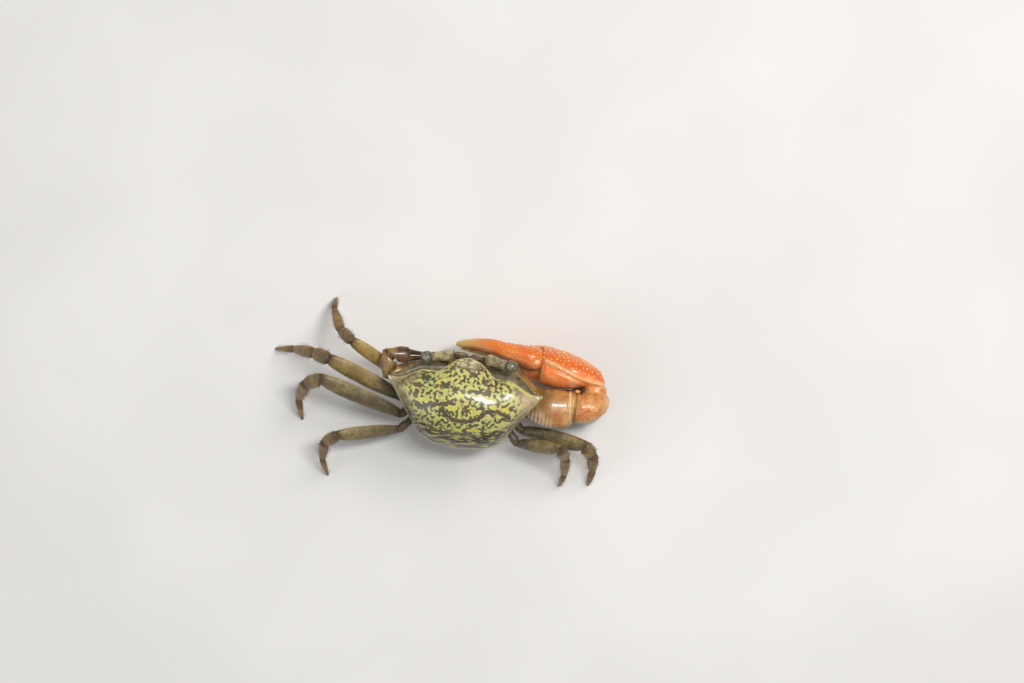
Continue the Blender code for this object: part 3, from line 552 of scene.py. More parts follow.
tree.links.new(skin, shader.inputs["Base Color"])
fine_relief(tree, shader, place, 0.3, 0.08, 0.03, Detail=2.0, Roughness=0.45)
dull = add_node(
    tree, "ShaderNodeMath", {0: marked["under"], 1: rear}, operation="MAXIMUM"
).outputs[0]
for value, share, rest, socket in (
    (dull, -0.8, 1.0, "Coat Weight"), (marked["under"], 0.25, 0.32, "Roughness")
):
    gloss = add_node(
        tree, "ShaderNodeMath", {0: value, 1: share, 2: rest}, operation="MULTIPLY_ADD"
    )
    tree.links.new(gloss.outputs[0], shader.inputs[socket])

shell = make_case("carapace_shell", shell_rings, shell_skin, shell_marks)
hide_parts("carapace")
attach(shell, "root")

# Beads of the ridge under each eye groove: a comb of hard grains that the shell grows along its
# edge, small at the middle and larger towards the corners.
BEAD = {"Spacing": 0.34 * MM, "Radius": 0.12 * MM, "Blunt": 0.45, "Height": 0.15 * MM, "Spread": 0.2}
BEADED = (2.6, 9.3)
BEADS_LEAN = (0, -0.94, 0.34)


def start_tree(name, *sizes):
    """Geometry tree with named inputs: gives the tree and its group input."""
    tree = bpy.data.node_groups.new(name, "GeometryNodeTree")
    tree.interface.new_socket("Geometry", in_out="INPUT", socket_type="NodeSocketGeometry")
    for size in sizes:
        tree.interface.new_socket(size, in_out="INPUT", socket_type="NodeSocketFloat")
    tree.interface.new_socket("Seed", in_out="INPUT", socket_type="NodeSocketInt")
    tree.interface.new_socket("Material", in_out="INPUT", socket_type="NodeSocketMaterial")
    tree.interface.new_socket("Geometry", in_out="OUTPUT", socket_type="NodeSocketGeometry")
    return tree, tree.nodes.new("NodeGroupInput").outputs


def finish_tree(tree, inputs, instances):
    """Makes all that the tree has set in place one smooth mesh of its material."""
    real = add_node(tree, "GeometryNodeRealizeInstances", {"Geometry": instances})
    smooth = add_node(tree, "GeometryNodeSetShadeSmooth", {0: real.outputs[0]})
    painted = add_node(
        tree, "GeometryNodeSetMaterial",
        {"Geometry": smooth.outputs[0], "Material": inputs["Material"]},
    )
    add_node(tree, "NodeGroupOutput", {0: painted.outputs[0]})


def varied_size(tree, inputs):
    """Size of each grain, bead or hair: from 1 less the spread to 1 more."""
    ends = [
        add_node(tree, "ShaderNodeMath", {0: 1.0, 1: inputs["Spread"]}, operation=operation).outputs[0]
        for operation in ("SUBTRACT", "ADD")
    ]
    return add_node(
        tree, "FunctionNodeRandomValue", {2: ends[0], 3: ends[1], "Seed": inputs["Seed"]},
        data_type="FLOAT",
    ).outputs[1]


# Blunt cones in a row along lines of points, each pointing the way that its line's "out" says.
cone_rows, inputs = start_tree("cone_rows", "Spacing", "Radius", "Blunt", "Height", "Spread")
line = add_node(cone_rows, "GeometryNodeMeshToCurve", {"Mesh": inputs["Geometry"]})
line = add_node(
    cone_rows, "GeometryNodeResampleCurve",
    {"Curve": line.outputs[0], "Length": inputs["Spacing"]}, mode="LENGTH",
)
out = add_node(cone_rows, "GeometryNodeInputNamedAttribute", {"Name": "out"}, data_type="FLOAT_VECTOR")
size = add_node(cone_rows, "GeometryNodeInputNamedAttribute", {"Name": "size"}, data_type="FLOAT")
turned = add_node(
    cone_rows, "FunctionNodeAlignRotationToVector", {"Vector": out.outputs[0]}, axis="Z"
)
top = add_node(
    cone_rows, "ShaderNodeMath", {0: inputs["Radius"], 1: inputs["Blunt"]}, operation="MULTIPLY"
).outputs[0]
cone = add_node(
    cone_rows, "GeometryNodeMeshCone",
    {
        "Vertices": 7, "Side Segments": 2, "Radius Top": top, "Radius Bottom": inputs["Radius"],
        "Depth": inputs["Height"],
    },
)
scale = add_node(
    cone_rows, "ShaderNodeMath", {0: varied_size(cone_rows, inputs), 1: size.outputs[0]},
    operation="MULTIPLY",
).outputs[0]
placed = add_node(
    cone_rows, "GeometryNodeInstanceOnPoints",
    {
        "Points": line.outputs[0], "Instance": cone.outputs[0], "Rotation": turned.outputs[0],
        "Scale": scale,
    },
)
finish_tree(cone_rows, inputs, placed.outputs[0])


def grow(name, lines, tree, sizes, seed, material):
    """Plain piece that a geometry tree grows on lines of (point, out, size), in millimetres."""
    points = []
    edges = []
    outs = []
    scales = []
    for line in lines:
        edges += [(len(points) + i, len(points) + i + 1) for i in range(len(line) - 1)]
        points += [STANCE + Vector(point) * MM for point, _, _ in line]
        outs += [value for _, out, _ in line for value in out]
        scales += [size for _, _, size in line]
    mesh = bpy.data.meshes.new(name)
    mesh.from_pydata(points, edges, [])
    mesh.attributes.new("out", "FLOAT_VECTOR", "POINT").data.foreach_set("vector", outs)
    mesh.attributes.new("size", "FLOAT", "POINT").data.foreach_set("value", scales)
    return grow_on(name, mesh, tree, sizes, seed, material)


def grow_on(name, mesh, tree, sizes, seed, material):
    """Plain piece that a geometry tree grows on a mesh, with sizes in metres."""
    piece = bpy.data.objects.new(name, mesh)
    bpy.context.scene.collection.objects.link(piece)
    modifier = piece.modifiers.new("grown", "NODES")
    modifier.node_group = tree
    values = {**sizes, "Seed": seed, "Material": material}
    for socket in tree.interface.items_tree:
        if socket.in_out == "INPUT" and socket.name in values:
            modifier[socket.identifier] = values[socket.name]
    graph = bpy.context.evaluated_depsgraph_get()
    plain = bpy.data.meshes.new_from_object(piece.evaluated_get(graph))
    piece.modifiers.clear()
    piece.data = plain
    return piece


brow_lines = []
for side in (1, -1):
    line = []
    for x in stations(*BEADED, 0.2):
        y, z = smooth_values(BROW_RIDGE, x)
        point = trunk_point(side * x, y + 0.04, z)
        line.append((point, BEADS_LEAN, 0.65 + 0.05 * x))
    brow_lines.append(line)
brow_beads = grow("brow_beads", brow_lines, cone_rows, BEAD, 5, shell_skin)
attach(brow_beads, "root")

# Great claw: palm and fixed finger are one hard orange case, rough with grains outside and smooth
# inside, with two cream crests along its upper edge and a wet groove between them.
PALM = [
    (-17.75, -3.0, -2.5, 8.2, 6.9), (-17.45, -3.6, -2.2, 9.1, 5.8), (-16.5, -4.5, -2.12, 9.9, 4.7),
    (-15.0, -5.25, -1.9, 10.5, 3.8), (-13.2, -5.85, -1.42, 10.85, 3.2),
    (-11.4, -6.25, -1.28, 10.9, 2.9), (-10.1, -6.45, -1.38, 10.7, 2.85),
    (-9.4, -6.5, -1.5, 10.3, 2.85),
]
FIXED_FINGER = [
    (-9.3, -6.5, -1.7, 6.7, 2.85), (-8.3, -6.4, -1.85, 6.4, 2.9), (-7.3, -6.25, -2.4, 6.1, 3.0),
    (-6.4, -6.1, -3.2, 5.85, 3.1), (-5.3, -5.95, -3.85, 5.65, 3.2), (-3.8, -5.75, -4.1, 5.5, 3.4),
    (-2.0, -5.55, -4.25, 5.45, 3.7), (-0.4, -5.35, -4.35, 5.5, 4.1), (0.7, -5.2, -4.5, 5.75, 4.65),
    (1.35, -5.05, -4.65, 6.0, 5.2),
]
MOVING_FINGER = [
    (-9.5, -5.75, -3.65, 9.75, 7.4), (-9.0, -5.9, -3.5, 9.95, 7.25), (-8.6, -6.15, -3.3, 10.3, 7.1),
    (-7.8, -6.2, -3.35, 10.45, 7.05), (-6.6, -6.25, -3.75, 10.35, 7.3),
    (-4.6, -6.3, -4.1, 10.15, 7.55), (-2.6, -6.5, -4.7, 9.7, 7.5), (-0.8, -6.35, -4.95, 8.95, 7.0),
    (0.6, -6.05, -4.95, 8.1, 6.5), (1.4, -5.8, -4.9, 7.45, 6.1), (1.8, -5.65, -4.95, 7.05, 6.0),
    (2.0, -5.45, -5.1, 6.75, 6.15),
]
CLAW_SIDES = 96
CLAW_PLUMPNESS = 2.3
CLAW_STEP = 0.14
OUTER_CREST = [
    (-17.3, -2.55), (-14.7, -2.8), (-13.8, -3.1), (-12.7, -3.6), (-11.0, -4.3), (-9.8, -4.6),
]
INNER_CREST = [(-14.8, -2.3), (-13.4, -2.65), (-12.1, -3.0), (-10.0, -3.6)]
GROOVE = [(-15.2, -2.5), (-13.6, -2.85), (-12.3, -3.3), (-10.2, -3.95)]
# How high each stands out of the palm, or sinks into it, and its half-width.
CRESTS = [(OUTER_CREST, 0.16, 0.2), (INNER_CREST, 0.1, 0.17), (GROOVE, -0.2, 0.22)]


def superellipse(breadth, height, sides, power):
    """Points round an outline of the given full sizes: an ellipse at a power of 2."""
    points = []
    for k in range(sides):
        c, s = math.cos(math.tau * k / sides), math.sin(math.tau * k / sides)
        points.append(
            (
                math.copysign(abs(c) ** (2 / power), c) * breadth / 2,
                math.copysign(abs(s) ** (2 / power), s) * height / 2,
            )
        )
    return points


def hand_point(keys, x, turn):
    """Point on the hand's surface and the way out of it. A quarter turn is the upper edge and
    half a turn the outer face."""
    outer, inner, top, bottom = smooth_values(keys, x)
    c, s = math.cos(turn), math.sin(turn)
    y = math.copysign(abs(c) ** (2 / CLAW_PLUMPNESS), c) * (inner - outer) / 2
    z = math.copysign(abs(s) ** (2 / CLAW_PLUMPNESS), s) * (top - bottom) / 2
    out = Vector((0, c / (inner - outer), s / (top - bottom))).normalized()
    return Vector((x, (outer + inner) / 2 + y, (top + bottom) / 2 + z)), out


def outer_face(turn, upper_near, upper_far, lower_near, lower_far):
    """1 on the outer face of the hand and 0 on its inner one, at a turn in degrees."""
    return (1 - fade(turn, upper_near, upper_far)) * fade(turn, lower_near, lower_far)


def crest_height(point):
    """How far the crests stand out of the palm and the groove sinks into it."""
    return sum(high * swell(line_distance(line, *point.xy), width) for line, high, width in CRESTS)


CREST_LEVEL = 7.2
CREAM_FROM = (-13, -8)
GRAINS_FROM = (-17.4, -16.9)
GRAINS_TO = (-9.6, -4.5)
TIP_FROM = (-6.0, 1.0)
PALM_OUTSIDE = (75, 100, 235, 262)
CLAW_MARKS = ("cream", "granular", "tip", "inner")
palm_rings = []
palm_marks = {name: [] for name in CLAW_MARKS}
for keys in (PALM, FIXED_FINGER):
    for x in stations(keys[0][0], keys[-1][0], CLAW_STEP):
        ring = []
        found = {name: [] for name in CLAW_MARKS}
        for k in range(CLAW_SIDES):
            turn = math.tau * k / CLAW_SIDES
            point, out = hand_point(keys, x, turn)
            cream = 0
            if keys is PALM and point.z > CREST_LEVEL:
                cream = swell(line_distance(OUTER_CREST, point.x, point.y), 0.24)
                point += out * crest_height(point)
            lower_edge = swell(turn - 1.5 * math.pi, 0.3)
            cream = max(cream, 0.6 * lower_edge * (1 - fade(x, *CREAM_FROM)))
            if keys is FIXED_FINGER:
                cream = max(cream, 0.9 * swell(turn - math.pi / 2, 0.5))
            outer_share = outer_face(math.degrees(turn), *PALM_OUTSIDE)
            ring.append(point)
            found["cream"].append(cream)
            found["tip"].append(1 - fade(x, *TIP_FROM))
            found["granular"].append(
                outer_share * (1 - fade(x, *GRAINS_FROM)) * fade(x, *GRAINS_TO)
            )
            found["inner"].append(1 - outer_share)
        palm_rings.append(ring)
        for name in CLAW_MARKS:
            palm_marks[name].append(found[name])

# Wet orange claw shell. It is translucent chitin over bright flesh, so it shades from deep orange
# at the palm to cream at the tips, and a little light passes through it.
claw_skin, tree, shader, place = start_material(
    "wet_orange_claw_chitin", Roughness=0.36, Coat_Weight=0.8, Coat_Roughness=0.1, Coat_IOR=1.33,
    Subsurface_Weight=0.12, Subsurface_Scale=0.5 * MM,
)
skin = tinted(tree, "D8661A", "E27C2C", mottling(tree, place, 3.0, 0.35, 0.68))
# The inner face is paler: partly its own smooth orange-red tone, and partly painted light that lifts the
# shade of the slope turned away from the lamps.
inner = tinted(tree, "F68A42", "F8B682", mottling(tree, place, 1.6, 0.4, 0.65))
skin = tinted(tree, skin, inner, "inner")
skin = tinted(tree, skin, "B04A18", mottling(tree, place, 0.5, 0.55, 0.7), 0.35)
skin = tinted(tree, skin, "D2BC74", "tip", 0.85)
skin = tinted(tree, skin, "EFD09A", "cream", 0.85)
tree.links.new(skin, shader.inputs["Base Color"])
fine_relief(tree, shader, place, 0.3, 0.3, 0.04)

palm = make_case("great_claw_palm", palm_rings, claw_skin, palm_marks)
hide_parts("major_claw_palm")
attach(palm, "root")

# Moving finger of the great claw: a long curved blade of the same shell, hinged on a pale knuckle
# at its base. It bends down over the fixed finger and turns to cream at its tip.
FINGER_OUTSIDE = (60, 85, 200, 240)
FINGER_GROOVES = (150, 28)
GROOVES_FROM = (-8.4, -7.2)
GROOVES_TO = (-1.5, 1.2)
finger_rings = []
finger_marks = {name: [] for name in CLAW_MARKS}
for x in stations(MOVING_FINGER[0][0], MOVING_FINGER[-1][0], CLAW_STEP):
    ring = []
    found = {name: [] for name in CLAW_MARKS}
    for k in range(CLAW_SIDES):
        turn = math.tau * k / CLAW_SIDES
        point, out = hand_point(MOVING_FINGER, x, turn)
        turn = math.degrees(turn)
        groove = sum(swell(turn - middle, 9) for middle in FINGER_GROOVES)
        point -= out * 0.1 * groove * (1 - fade(x, *GROOVES_FROM)) * fade(x, *GROOVES_TO)
        outer_share = outer_face(turn, *FINGER_OUTSIDE)
        ring.append(point)
        # The cutting edge is cream, and so is the inner side towards the tip.
        cream = 0.75 * swell(turn - 270, 42)
        cream = max(cream, 0.8 * swell(turn - 4, 17) * (1 - fade(x, -5.5, -3.0)))
        found["cream"].append(cream)
        found["tip"].append(1 - fade(x, -3.2, 1.6))
        found["granular"].append(outer_share * fade(x, -5.5, -2.5))
        found["inner"].append((1 - outer_share) * 0.5)
    finger_rings.append(ring)
    for name in CLAW_MARKS:
        finger_marks[name].append(found[name])
finger = make_case("great_claw_finger", finger_rings, claw_skin, finger_marks)
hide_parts("major_claw_finger")
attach(finger, "root")

# Grains on the outer face of the great claw: low domes of thick, pale shell that stand out of
# the orange, about half a millimetre apart on the palm and finer on the finger.
grain_scatter, inputs = start_tree("grain_scatter", "Spacing", "Radius", "Height", "Spread")
spacing = inputs["Spacing"]
area = add_node(grain_scatter, "ShaderNodeMath", {0: spacing, 1: spacing}, operation="MULTIPLY")
density = add_node(grain_scatter, "ShaderNodeMath", {0: 5.0, 1: area.outputs[0]}, operation="DIVIDE")
share = add_node(
    grain_scatter, "GeometryNodeInputNamedAttribute", {"Name": "granular"}, data_type="FLOAT"
)
spots = add_node(
    grain_scatter, "GeometryNodeDistributePointsOnFaces",
    {
        "Mesh": inputs["Geometry"], "Distance Min": spacing, "Density Max": density.outputs[0],
        "Density Factor": share.outputs[0], "Seed": inputs["Seed"],
    },
    distribute_method="POISSON",
)
dome = add_node(grain_scatter, "GeometryNodeMeshUVSphere", {"Segments": 8, "Rings": 5, "Radius": 1.0})
flat = add_node(
    grain_scatter, "ShaderNodeCombineXYZ",
    {"X": inputs["Radius"], "Y": inputs["Radius"], "Z": inputs["Height"]},
)
dome = add_node(
    grain_scatter, "GeometryNodeTransform", {"Geometry": dome.outputs[0], "Scale": flat.outputs[0]}
)
placed = add_node(
    grain_scatter, "GeometryNodeInstanceOnPoints",
    {
        "Points": spots.outputs["Points"], "Instance": dome.outputs[0],
        "Rotation": spots.outputs["Rotation"], "Scale": varied_size(grain_scatter, inputs),
    },
)
finish_tree(grain_scatter, inputs, placed.outputs[0])

def two_toned(name, first, second, size_mm, low, high, detail, **shader_values):
    """Material of two tones that pass into each other in patches of a real size."""
    material, tree, shader, place = start_material(name, **shader_values)
    skin = tinted(tree, first, second, mottling(tree, place, size_mm, low, high, detail))
    tree.links.new(skin, shader.inputs["Base Color"])
    return material


# Pale enamel-like grain: thick chitin with little colour, smooth and wet.
grain_skin = two_toned(
    "pale_claw_grain", "EC9450", "F0B070", 0.9, 0.35, 0.65, 2.0,
    Roughness=0.3, Coat_Weight=0.8, Coat_Roughness=0.08, Coat_IOR=1.33,
)

PALM_GRAIN = {"Spacing": 0.5 * MM, "Radius": 0.15 * MM, "Height": 0.11 * MM, "Spread": 0.3}
FINGER_GRAIN = {"Spacing": 0.46 * MM, "Radius": 0.11 * MM, "Height": 0.07 * MM, "Spread": 0.3}
for name, host, sizes, seed in (
    ("palm_grains", palm, PALM_GRAIN, 3), ("finger_grains", finger, FINGER_GRAIN, 4)
):
    grains = grow_on(name, host.data.copy(), grain_scatter, sizes, seed, grain_skin)
    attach(grains, "root")

# Teeth along the cutting edges, and the row of grains that tops the outer crest of the palm. They
# are the same pale shell, worn blunt.
TOOTH = {"Spacing": 0.5 * MM, "Radius": 0.2 * MM, "Blunt": 0.5, "Height": 0.3 * MM, "Spread": 0.35}
TOOTH_ROOT = 0.12
CREST_GRAIN = {
    "Spacing": 0.34 * MM, "Radius": 0.13 * MM, "Blunt": 0.6, "Height": 0.17 * MM, "Spread": 0.2
}


def edge_line(keys, first, last, turn, largest):
    """Line along one edge of a finger for teeth, which are largest at one place."""
    line = []
    for x in stations(first, last, 0.25):
        point, out = hand_point(keys, x, math.radians(turn))
        size = 0.75 + 0.8 * swell(x - largest, 1.2)
        line.append((point - out * TOOTH_ROOT, out, size))
    return line


tooth_lines = [
    edge_line(FIXED_FINGER, -6.9, 1.1, 84, -2.6), edge_line(FIXED_FINGER, -6.6, 0.9, 100, -0.4),
    edge_line(MOVING_FINGER, -6.8, 1.6, 263, -3.4), edge_line(MOVING_FINGER, -6.5, 1.4, 280, -0.6),
]
teeth = grow("claw_teeth", tooth_lines, cone_rows, TOOTH, 7, grain_skin)
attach(teeth, "root")
crest_line = []
for (x, y), (next_x, next_y) in zip(OUTER_CREST[:-1], OUTER_CREST[1:]):
    for share in (0, 0.25, 0.5, 0.75):
        ax = x + (next_x - x) * share
        ay = y + (next_y - y) * share
        outer, inner, top, bottom = smooth_values(PALM, ax)
        lean = (2 * ay - outer - inner) / (inner - outer)
        across = min(abs(lean), 0.999)
        height = (1 - across**CLAW_PLUMPNESS) ** (1 / CLAW_PLUMPNESS) * (top - bottom) / 2
        out = Vector((0, lean / (inner - outer), 1 / (top - bottom))).normalized()
        crest_line.append(((ax, ay, (top + bottom) / 2 + height + 0.08), out, 1))
crest_grains = grow("palm_crest_grains", [crest_line], cone_rows, CREST_GRAIN, 8, grain_skin)
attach(crest_grains, "root")

# Wrist and arm of the great claw: two hard cases behind the palm, olive-brown to orange. The wrist
# is rough with grains; the arm is smooth and carries fine cream ridges across its lower rear edge.
WRIST_PIVOT = (-14.5, -1.3)
WRIST = [
    (0, 0.2, 3.9, 10.3, 7.0), (20, 0.35, 4.15, 10.6, 6.6), (40, 0.5, 4.35, 10.6, 6.4),
    (60, 0.6, 4.4, 10.4, 6.3), (78, 0.6, 4.25, 9.9, 6.2), (90, 0.7, 3.75, 9.3, 6.3),
]
ARM = [
    ((-5.75, -2.35, 7.45), 1.5, 1.5), ((-6.9, -1.6, 7.7), 2.0, 1.7), ((-8.3, 0.1, 8.2), 3.3, 2.4),
    ((-9.7, 1.0, 8.75), 4.6, 3.1), ((-11.3, 1.3, 8.95), 5.0, 3.5), ((-13.0, 1.2, 8.85), 4.8, 3.5),
    ((-14.2, 0.95, 8.7), 4.1, 3.2),
]
ARM_STATIONS = 90
ARM_NEAR = 0.04
ARM_MARKS = ("ridge", "pink", "granular")
WRIST_STEP = 1.5
RIDGE_SPACING = 0.5
RIDGE_HEIGHT = 0.07
RIDGES_FROM = (-12.0, -11.5)
RIDGES_TO = (-8.6, -8.2)
ARM_COLLAR = 0.93
WRIST_BLUSH = Vector((-16.2, 0.6, 10.2))
# Past its last ring the wrist narrows into the rear of the palm, with a fold before it.
WRIST_END = (0.12, 0.3, 0.5, 0.75, 1.0)
WRIST_FOLD = 0.06
WRIST_NARROWING = 0.12
PALM_REACH = 1.1


def wrist_ring(turn, shrink=1.0):
    """Upright ring of the wrist at a turn in degrees round its pivot."""
    near, far, top, bottom = smooth_values(WRIST, turn)
    angle = math.radians(turn)
    heading = Vector((-math.sin(angle), math.cos(angle), 0))
    centre = Vector((*WRIST_PIVOT, (top + bottom) / 2)) + heading * (near + far) / 2
    outline = superellipse((far - near) * shrink, (top - bottom) * shrink, CLAW_SIDES, CLAW_PLUMPNESS)
    return [centre + heading * y + Vector((0, 0, z)) for y, z in outline]


def arm_ring(share, shrink=1.0):
    """Ring of the arm at a share of its length, with its plane turned to follow the bend."""
    keys = [(i / (len(ARM) - 1), *centre, wide, high) for i, (centre, wide, high) in enumerate(ARM)]
    x, y, z, wide, high = smooth_values(keys, share)
    near = smooth_values(keys, max(share - ARM_NEAR, 0))
    far = smooth_values(keys, min(share + ARM_NEAR, 1))
    axis = Vector((far[0] - near[0], far[1] - near[1], 0)).normalized()
    ends = max(fade(share, 0, 0.12), 1 - fade(share, 0.86, 1))
    axis = axis.lerp(Vector((-1, 0, 0)), ends).normalized()
    level = Vector((0, 0, 1)).cross(axis)
    outline = superellipse(wide * shrink, high * shrink, CLAW_SIDES, CLAW_PLUMPNESS)
    return [Vector((x, y, z)) + level * a + Vector((0, 0, b)) for a, b in outline]


arm_rings = []
arm_marks = {name: [] for name in ARM_MARKS}
for i in range(ARM_STATIONS + 1):
    share = i / ARM_STATIONS
    ring = arm_ring(share)
    found = {name: [] for name in ARM_MARKS}
    for k, point in enumerate(ring):
        turn = 360 * k / CLAW_SIDES
        rear_side = swell(turn - 158, 34)
        wave = 0.5 + 0.5 * math.cos(math.tau * point.x / RIDGE_SPACING)
        ridge = wave**2 * rear_side * (1 - fade(point.x, *RIDGES_FROM)) * fade(point.x, *RIDGES_TO)
        collar = swell(share - ARM_COLLAR, 0.012)
        lift = RIDGE_HEIGHT * ridge + 0.1 * collar - 0.06 * swell(share - ARM_COLLAR + 0.03, 0.014)
        centre = sum((ring[j] for j in (0, CLAW_SIDES // 2)), Vector()) / 2
        point += (point - centre).normalized() * lift
        found["ridge"].append(max(ridge, 0.8 * collar))
        found["pink"].append(0.45 - 0.45 * fade(share, 0.55, 0.8))
        found["granular"].append(0)
    arm_rings.append(ring)
    for name in ARM_MARKS:
        arm_marks[name].append(found[name])
wrist_rings = []
wrist_marks = {name: [] for name in ARM_MARKS}
for turn in stations(0, 90, WRIST_STEP):
    ring = wrist_ring(turn)
    wrist_rings.append(ring)
    centre = sum(ring, Vector()) / len(ring)
    wrist_marks["ridge"].append([0] * CLAW_SIDES)
    red = [swell((point - WRIST_BLUSH).length, 1.1) for point in ring]
    wrist_marks["pink"].append([0.7 + 0.3 * value for value in red])
    upper = [1 - fade(point.z, centre.z - 0.4, centre.z + 0.6) for point in ring]
    rim = min(1 - fade(turn, 4, 10), fade(turn, 80, 86))
    wrist_marks["granular"].append([value * rim for value in upper])
for share in WRIST_END:
    shrink = 1 - WRIST_FOLD * swell(share - 0.3, 0.2) - WRIST_NARROWING * share**2
    beyond = Vector((0.25 * share**2, -PALM_REACH * share, 0))
    wrist_rings.append([point + beyond for point in wrist_ring(90, shrink)])
    wrist_marks["ridge"].append([0] * CLAW_SIDES)
    wrist_marks["pink"].append([1.0] * CLAW_SIDES)
    wrist_marks["granular"].append([0] * CLAW_SIDES)

# Wet olive-brown chitin over orange flesh: cloudy, with darker flecks, cream where it is ridged.
arm_skin, tree, shader, place = start_material(
    "wet_olive_orange_chitin", Roughness=0.36, Coat_Weight=0.85, Coat_Roughness=0.08,
    Coat_IOR=1.33, Subsurface_Weight=0.1, Subsurface_Scale=0.5 * MM,
)
cloud = mottling(tree, place, 1.8, 0.38, 0.66, 3.0)
brown = tinted(tree, "8A6234", "A8844C", cloud)
orange = tinted(tree, "D88544", "E8B274", cloud)
skin = tinted(tree, brown, orange, "pink")
skin = tinted(tree, skin, "6B4A2C", mottling(tree, place, 0.55, 0.56, 0.68, 3.0), 0.45)
skin = tinted(tree, skin, "EED9B0", "ridge", 0.8)
tree.links.new(skin, shader.inputs["Base Color"])
fine_relief(tree, shader, place, 0.35, 0.35, 0.05)
for name, rings, marks, node in (
    ("great_claw_arm", arm_rings, arm_marks, "major_claw_arm"),
    ("great_claw_wrist", wrist_rings, wrist_marks, "major_claw_wrist"),
):
    piece = make_case(name, rings, arm_skin, marks)
    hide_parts(node)
    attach(piece, "root")
# Grains of the wrist: low domes of thick tan chitin, smooth and wet, finer than the palm's.
WRIST_GRAIN = {"Spacing": 0.42 * MM, "Radius": 0.11 * MM, "Height": 0.07 * MM, "Spread": 0.3}
wrist_grain_skin = two_toned(
    "tan_wrist_grain", "C98A50", "DDAF78", 0.9, 0.35, 0.65, 2.0,
    Roughness=0.32, Coat_Weight=0.8, Coat_Roughness=0.08, Coat_IOR=1.33,
)
grains = grow_on("wrist_grains", piece.data.copy(), grain_scatter, WRIST_GRAIN, 6, wrist_grain_skin)
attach(grains, "root")

# Joint skin: soft leathery cuticle, dark and dull, that closes each gap between two hard cases. It
# is set back a little from their edges and folded where the joint bends.
joint_skin = two_toned(
    "soft_joint_cuticle", "43321F", "6E5332", 0.5, 0.4, 0.62, 3.0,
    Roughness=0.5, Coat_Weight=0.3, Coat_Roughness=0.2, Coat_IOR=1.33,
)
FOLDS = 3
FOLD_DEPTH = 0.04
JOINT_REACH = 0.3
SOCKET_REACH = 0.6


def joint_rings(first, second, shrink):
    """Folded tube between two end rings, reaching a little into both cases."""
    rings = []
    centres = [sum(ring, Vector()) / len(ring) for ring in (first, second)]
    across = centres[1] - centres[0]
    count = 4 * FOLDS
    for i in range(count + 1):
        share = i / count
        fold = FOLD_DEPTH * math.cos(math.tau * FOLDS * share)
        reach = across * ((1 + 2 * JOINT_REACH) * share - JOINT_REACH)
        ring = []
        for a, b in zip(first, second):
            radial = (a - centres[0]).lerp(b - centres[1], share) * (shrink + fold)
            ring.append(centres[0] + reach + radial)
        rings.append(ring)
    return rings


def socket_rings(ring, side):
    """Folded tube from a limb's first ring into the side of the trunk."""
    within = [point - Vector((side * SOCKET_REACH, 0, 0)) for point in ring]
    return joint_rings(within, ring, 0.9)


# The arm's rings start on the inner side and the wrist's on the outer one, so one is turned.
arm_end = arm_ring(1)
arm_end = [arm_end[(CLAW_SIDES // 2 - k) % CLAW_SIDES] for k in range(CLAW_SIDES)]
tubes = [joint_rings(arm_end, wrist_ring(0), 0.97), socket_rings(arm_ring(0), -1)]
claw_joint = make_piece("great_claw_joint_skin", tubes, arm_skin)
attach(claw_joint, "root")

# Knuckles of the great claw: smooth, pinkish cream pegs of thick shell on which the finger turns
# in the palm and the palm turns on the wrist.
KNUCKLES = [((-8.5, -4.35, 10.14), 0.62, 0.2), ((-14.4, -1.25, 9.25), 0.34, 0.2)]
KNUCKLE_SIDES = 24
KNUCKLE_OVAL = 0.75
knuckle_skin = two_toned(
    "cream_knuckle_shell", "DC8648", "E8AC7A", 0.6, 0.4, 0.62, 2.0,
    Roughness=0.3, Coat_Weight=0.9, Coat_Roughness=0.06, Coat_IOR=1.4,
)
pegs = []
turns = [math.tau * k / KNUCKLE_SIDES for k in range(KNUCKLE_SIDES)]
for (x, y, z), radius, height in KNUCKLES:
    rings = []
    for tilt in stations(-84, 84, 12):
        across, up = radius * math.cos(math.radians(tilt)), height * math.sin(math.radians(tilt))
        oval = across * KNUCKLE_OVAL
        rings.append([(x + across * math.cos(t), y + oval * math.sin(t), z + up) for t in turns])
    pegs.append(rings)
knuckles = make_piece("great_claw_knuckles", pegs, knuckle_skin)
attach(knuckles, "root")

# Walking legs: five hard cases each, flattened so that their edges are sharp, and jointed like
# rods. The chitin is thin, damp and a little see-through; bristles stand along the lower parts.
LEG_POSES = {
    "left_1": (
        (7.7, 0.1, 6.5), (15.3, -3.8, 9.0), (17.05, -5.0, 6.6), (18.4, -7.6, 3.3), (18.4, -9.1, 0),
    ),
    "left_2": (
        (7.8, 2.6, 6.4), (17.9, -1.1, 9.4), (20.1, -1.6, 6.9), (22.9, -1.7, 3.4), (25.4, -1.4, 0),
    ),
    "left_3": (
        (7.9, 4.7, 6.0), (18.6, 1.6, 9.4), (20.6, 2.5, 6.9), (21.4, 4.7, 3.2), (20.7, 7.3, 0),
    ),
    "left_4": (
        (7.8, 6.7, 5.6), (15.5, 8.5, 8.8), (17.2, 9.7, 6.4), (17.3, 12.0, 3.0), (16.4, 14.1, 0),
    ),
    "right_1": (
        (-7.6, 0.5, 5.3), (-15.0, -0.7, 5.0), (-16.2, -1.0, 2.8), (-12.8, -2.4, 1.5), (-9.6, -3.8, 0),
    ),
    "right_2": (
        (-7.8, 2.5, 5.1), (-15.9, 1.9, 5.2), (-17.3, 1.6, 3.0), (-14.1, 1.5, 1.5), (-10.6, 1.9, 0),
    ),
    "right_3": (
        (-7.9, 4.7, 5.0), (-16.2, 5.6, 7.2), (-17.5, 6.7, 5.3), (-17.8, 8.8, 2.6), (-17.5, 10.8, 0),
    ),
    "right_4": (
        (-7.6, 6.5, 5.6), (-13.2, 6.4, 9.2), (-14.05, 7.6, 6.6), (-14.2, 9.8, 3.1), (-13.8, 11.4, 0),
    ),
}
HIP_PLACES = {"1": 0.8, "2": 2.5, "3": 4.2, "4": 5.9}
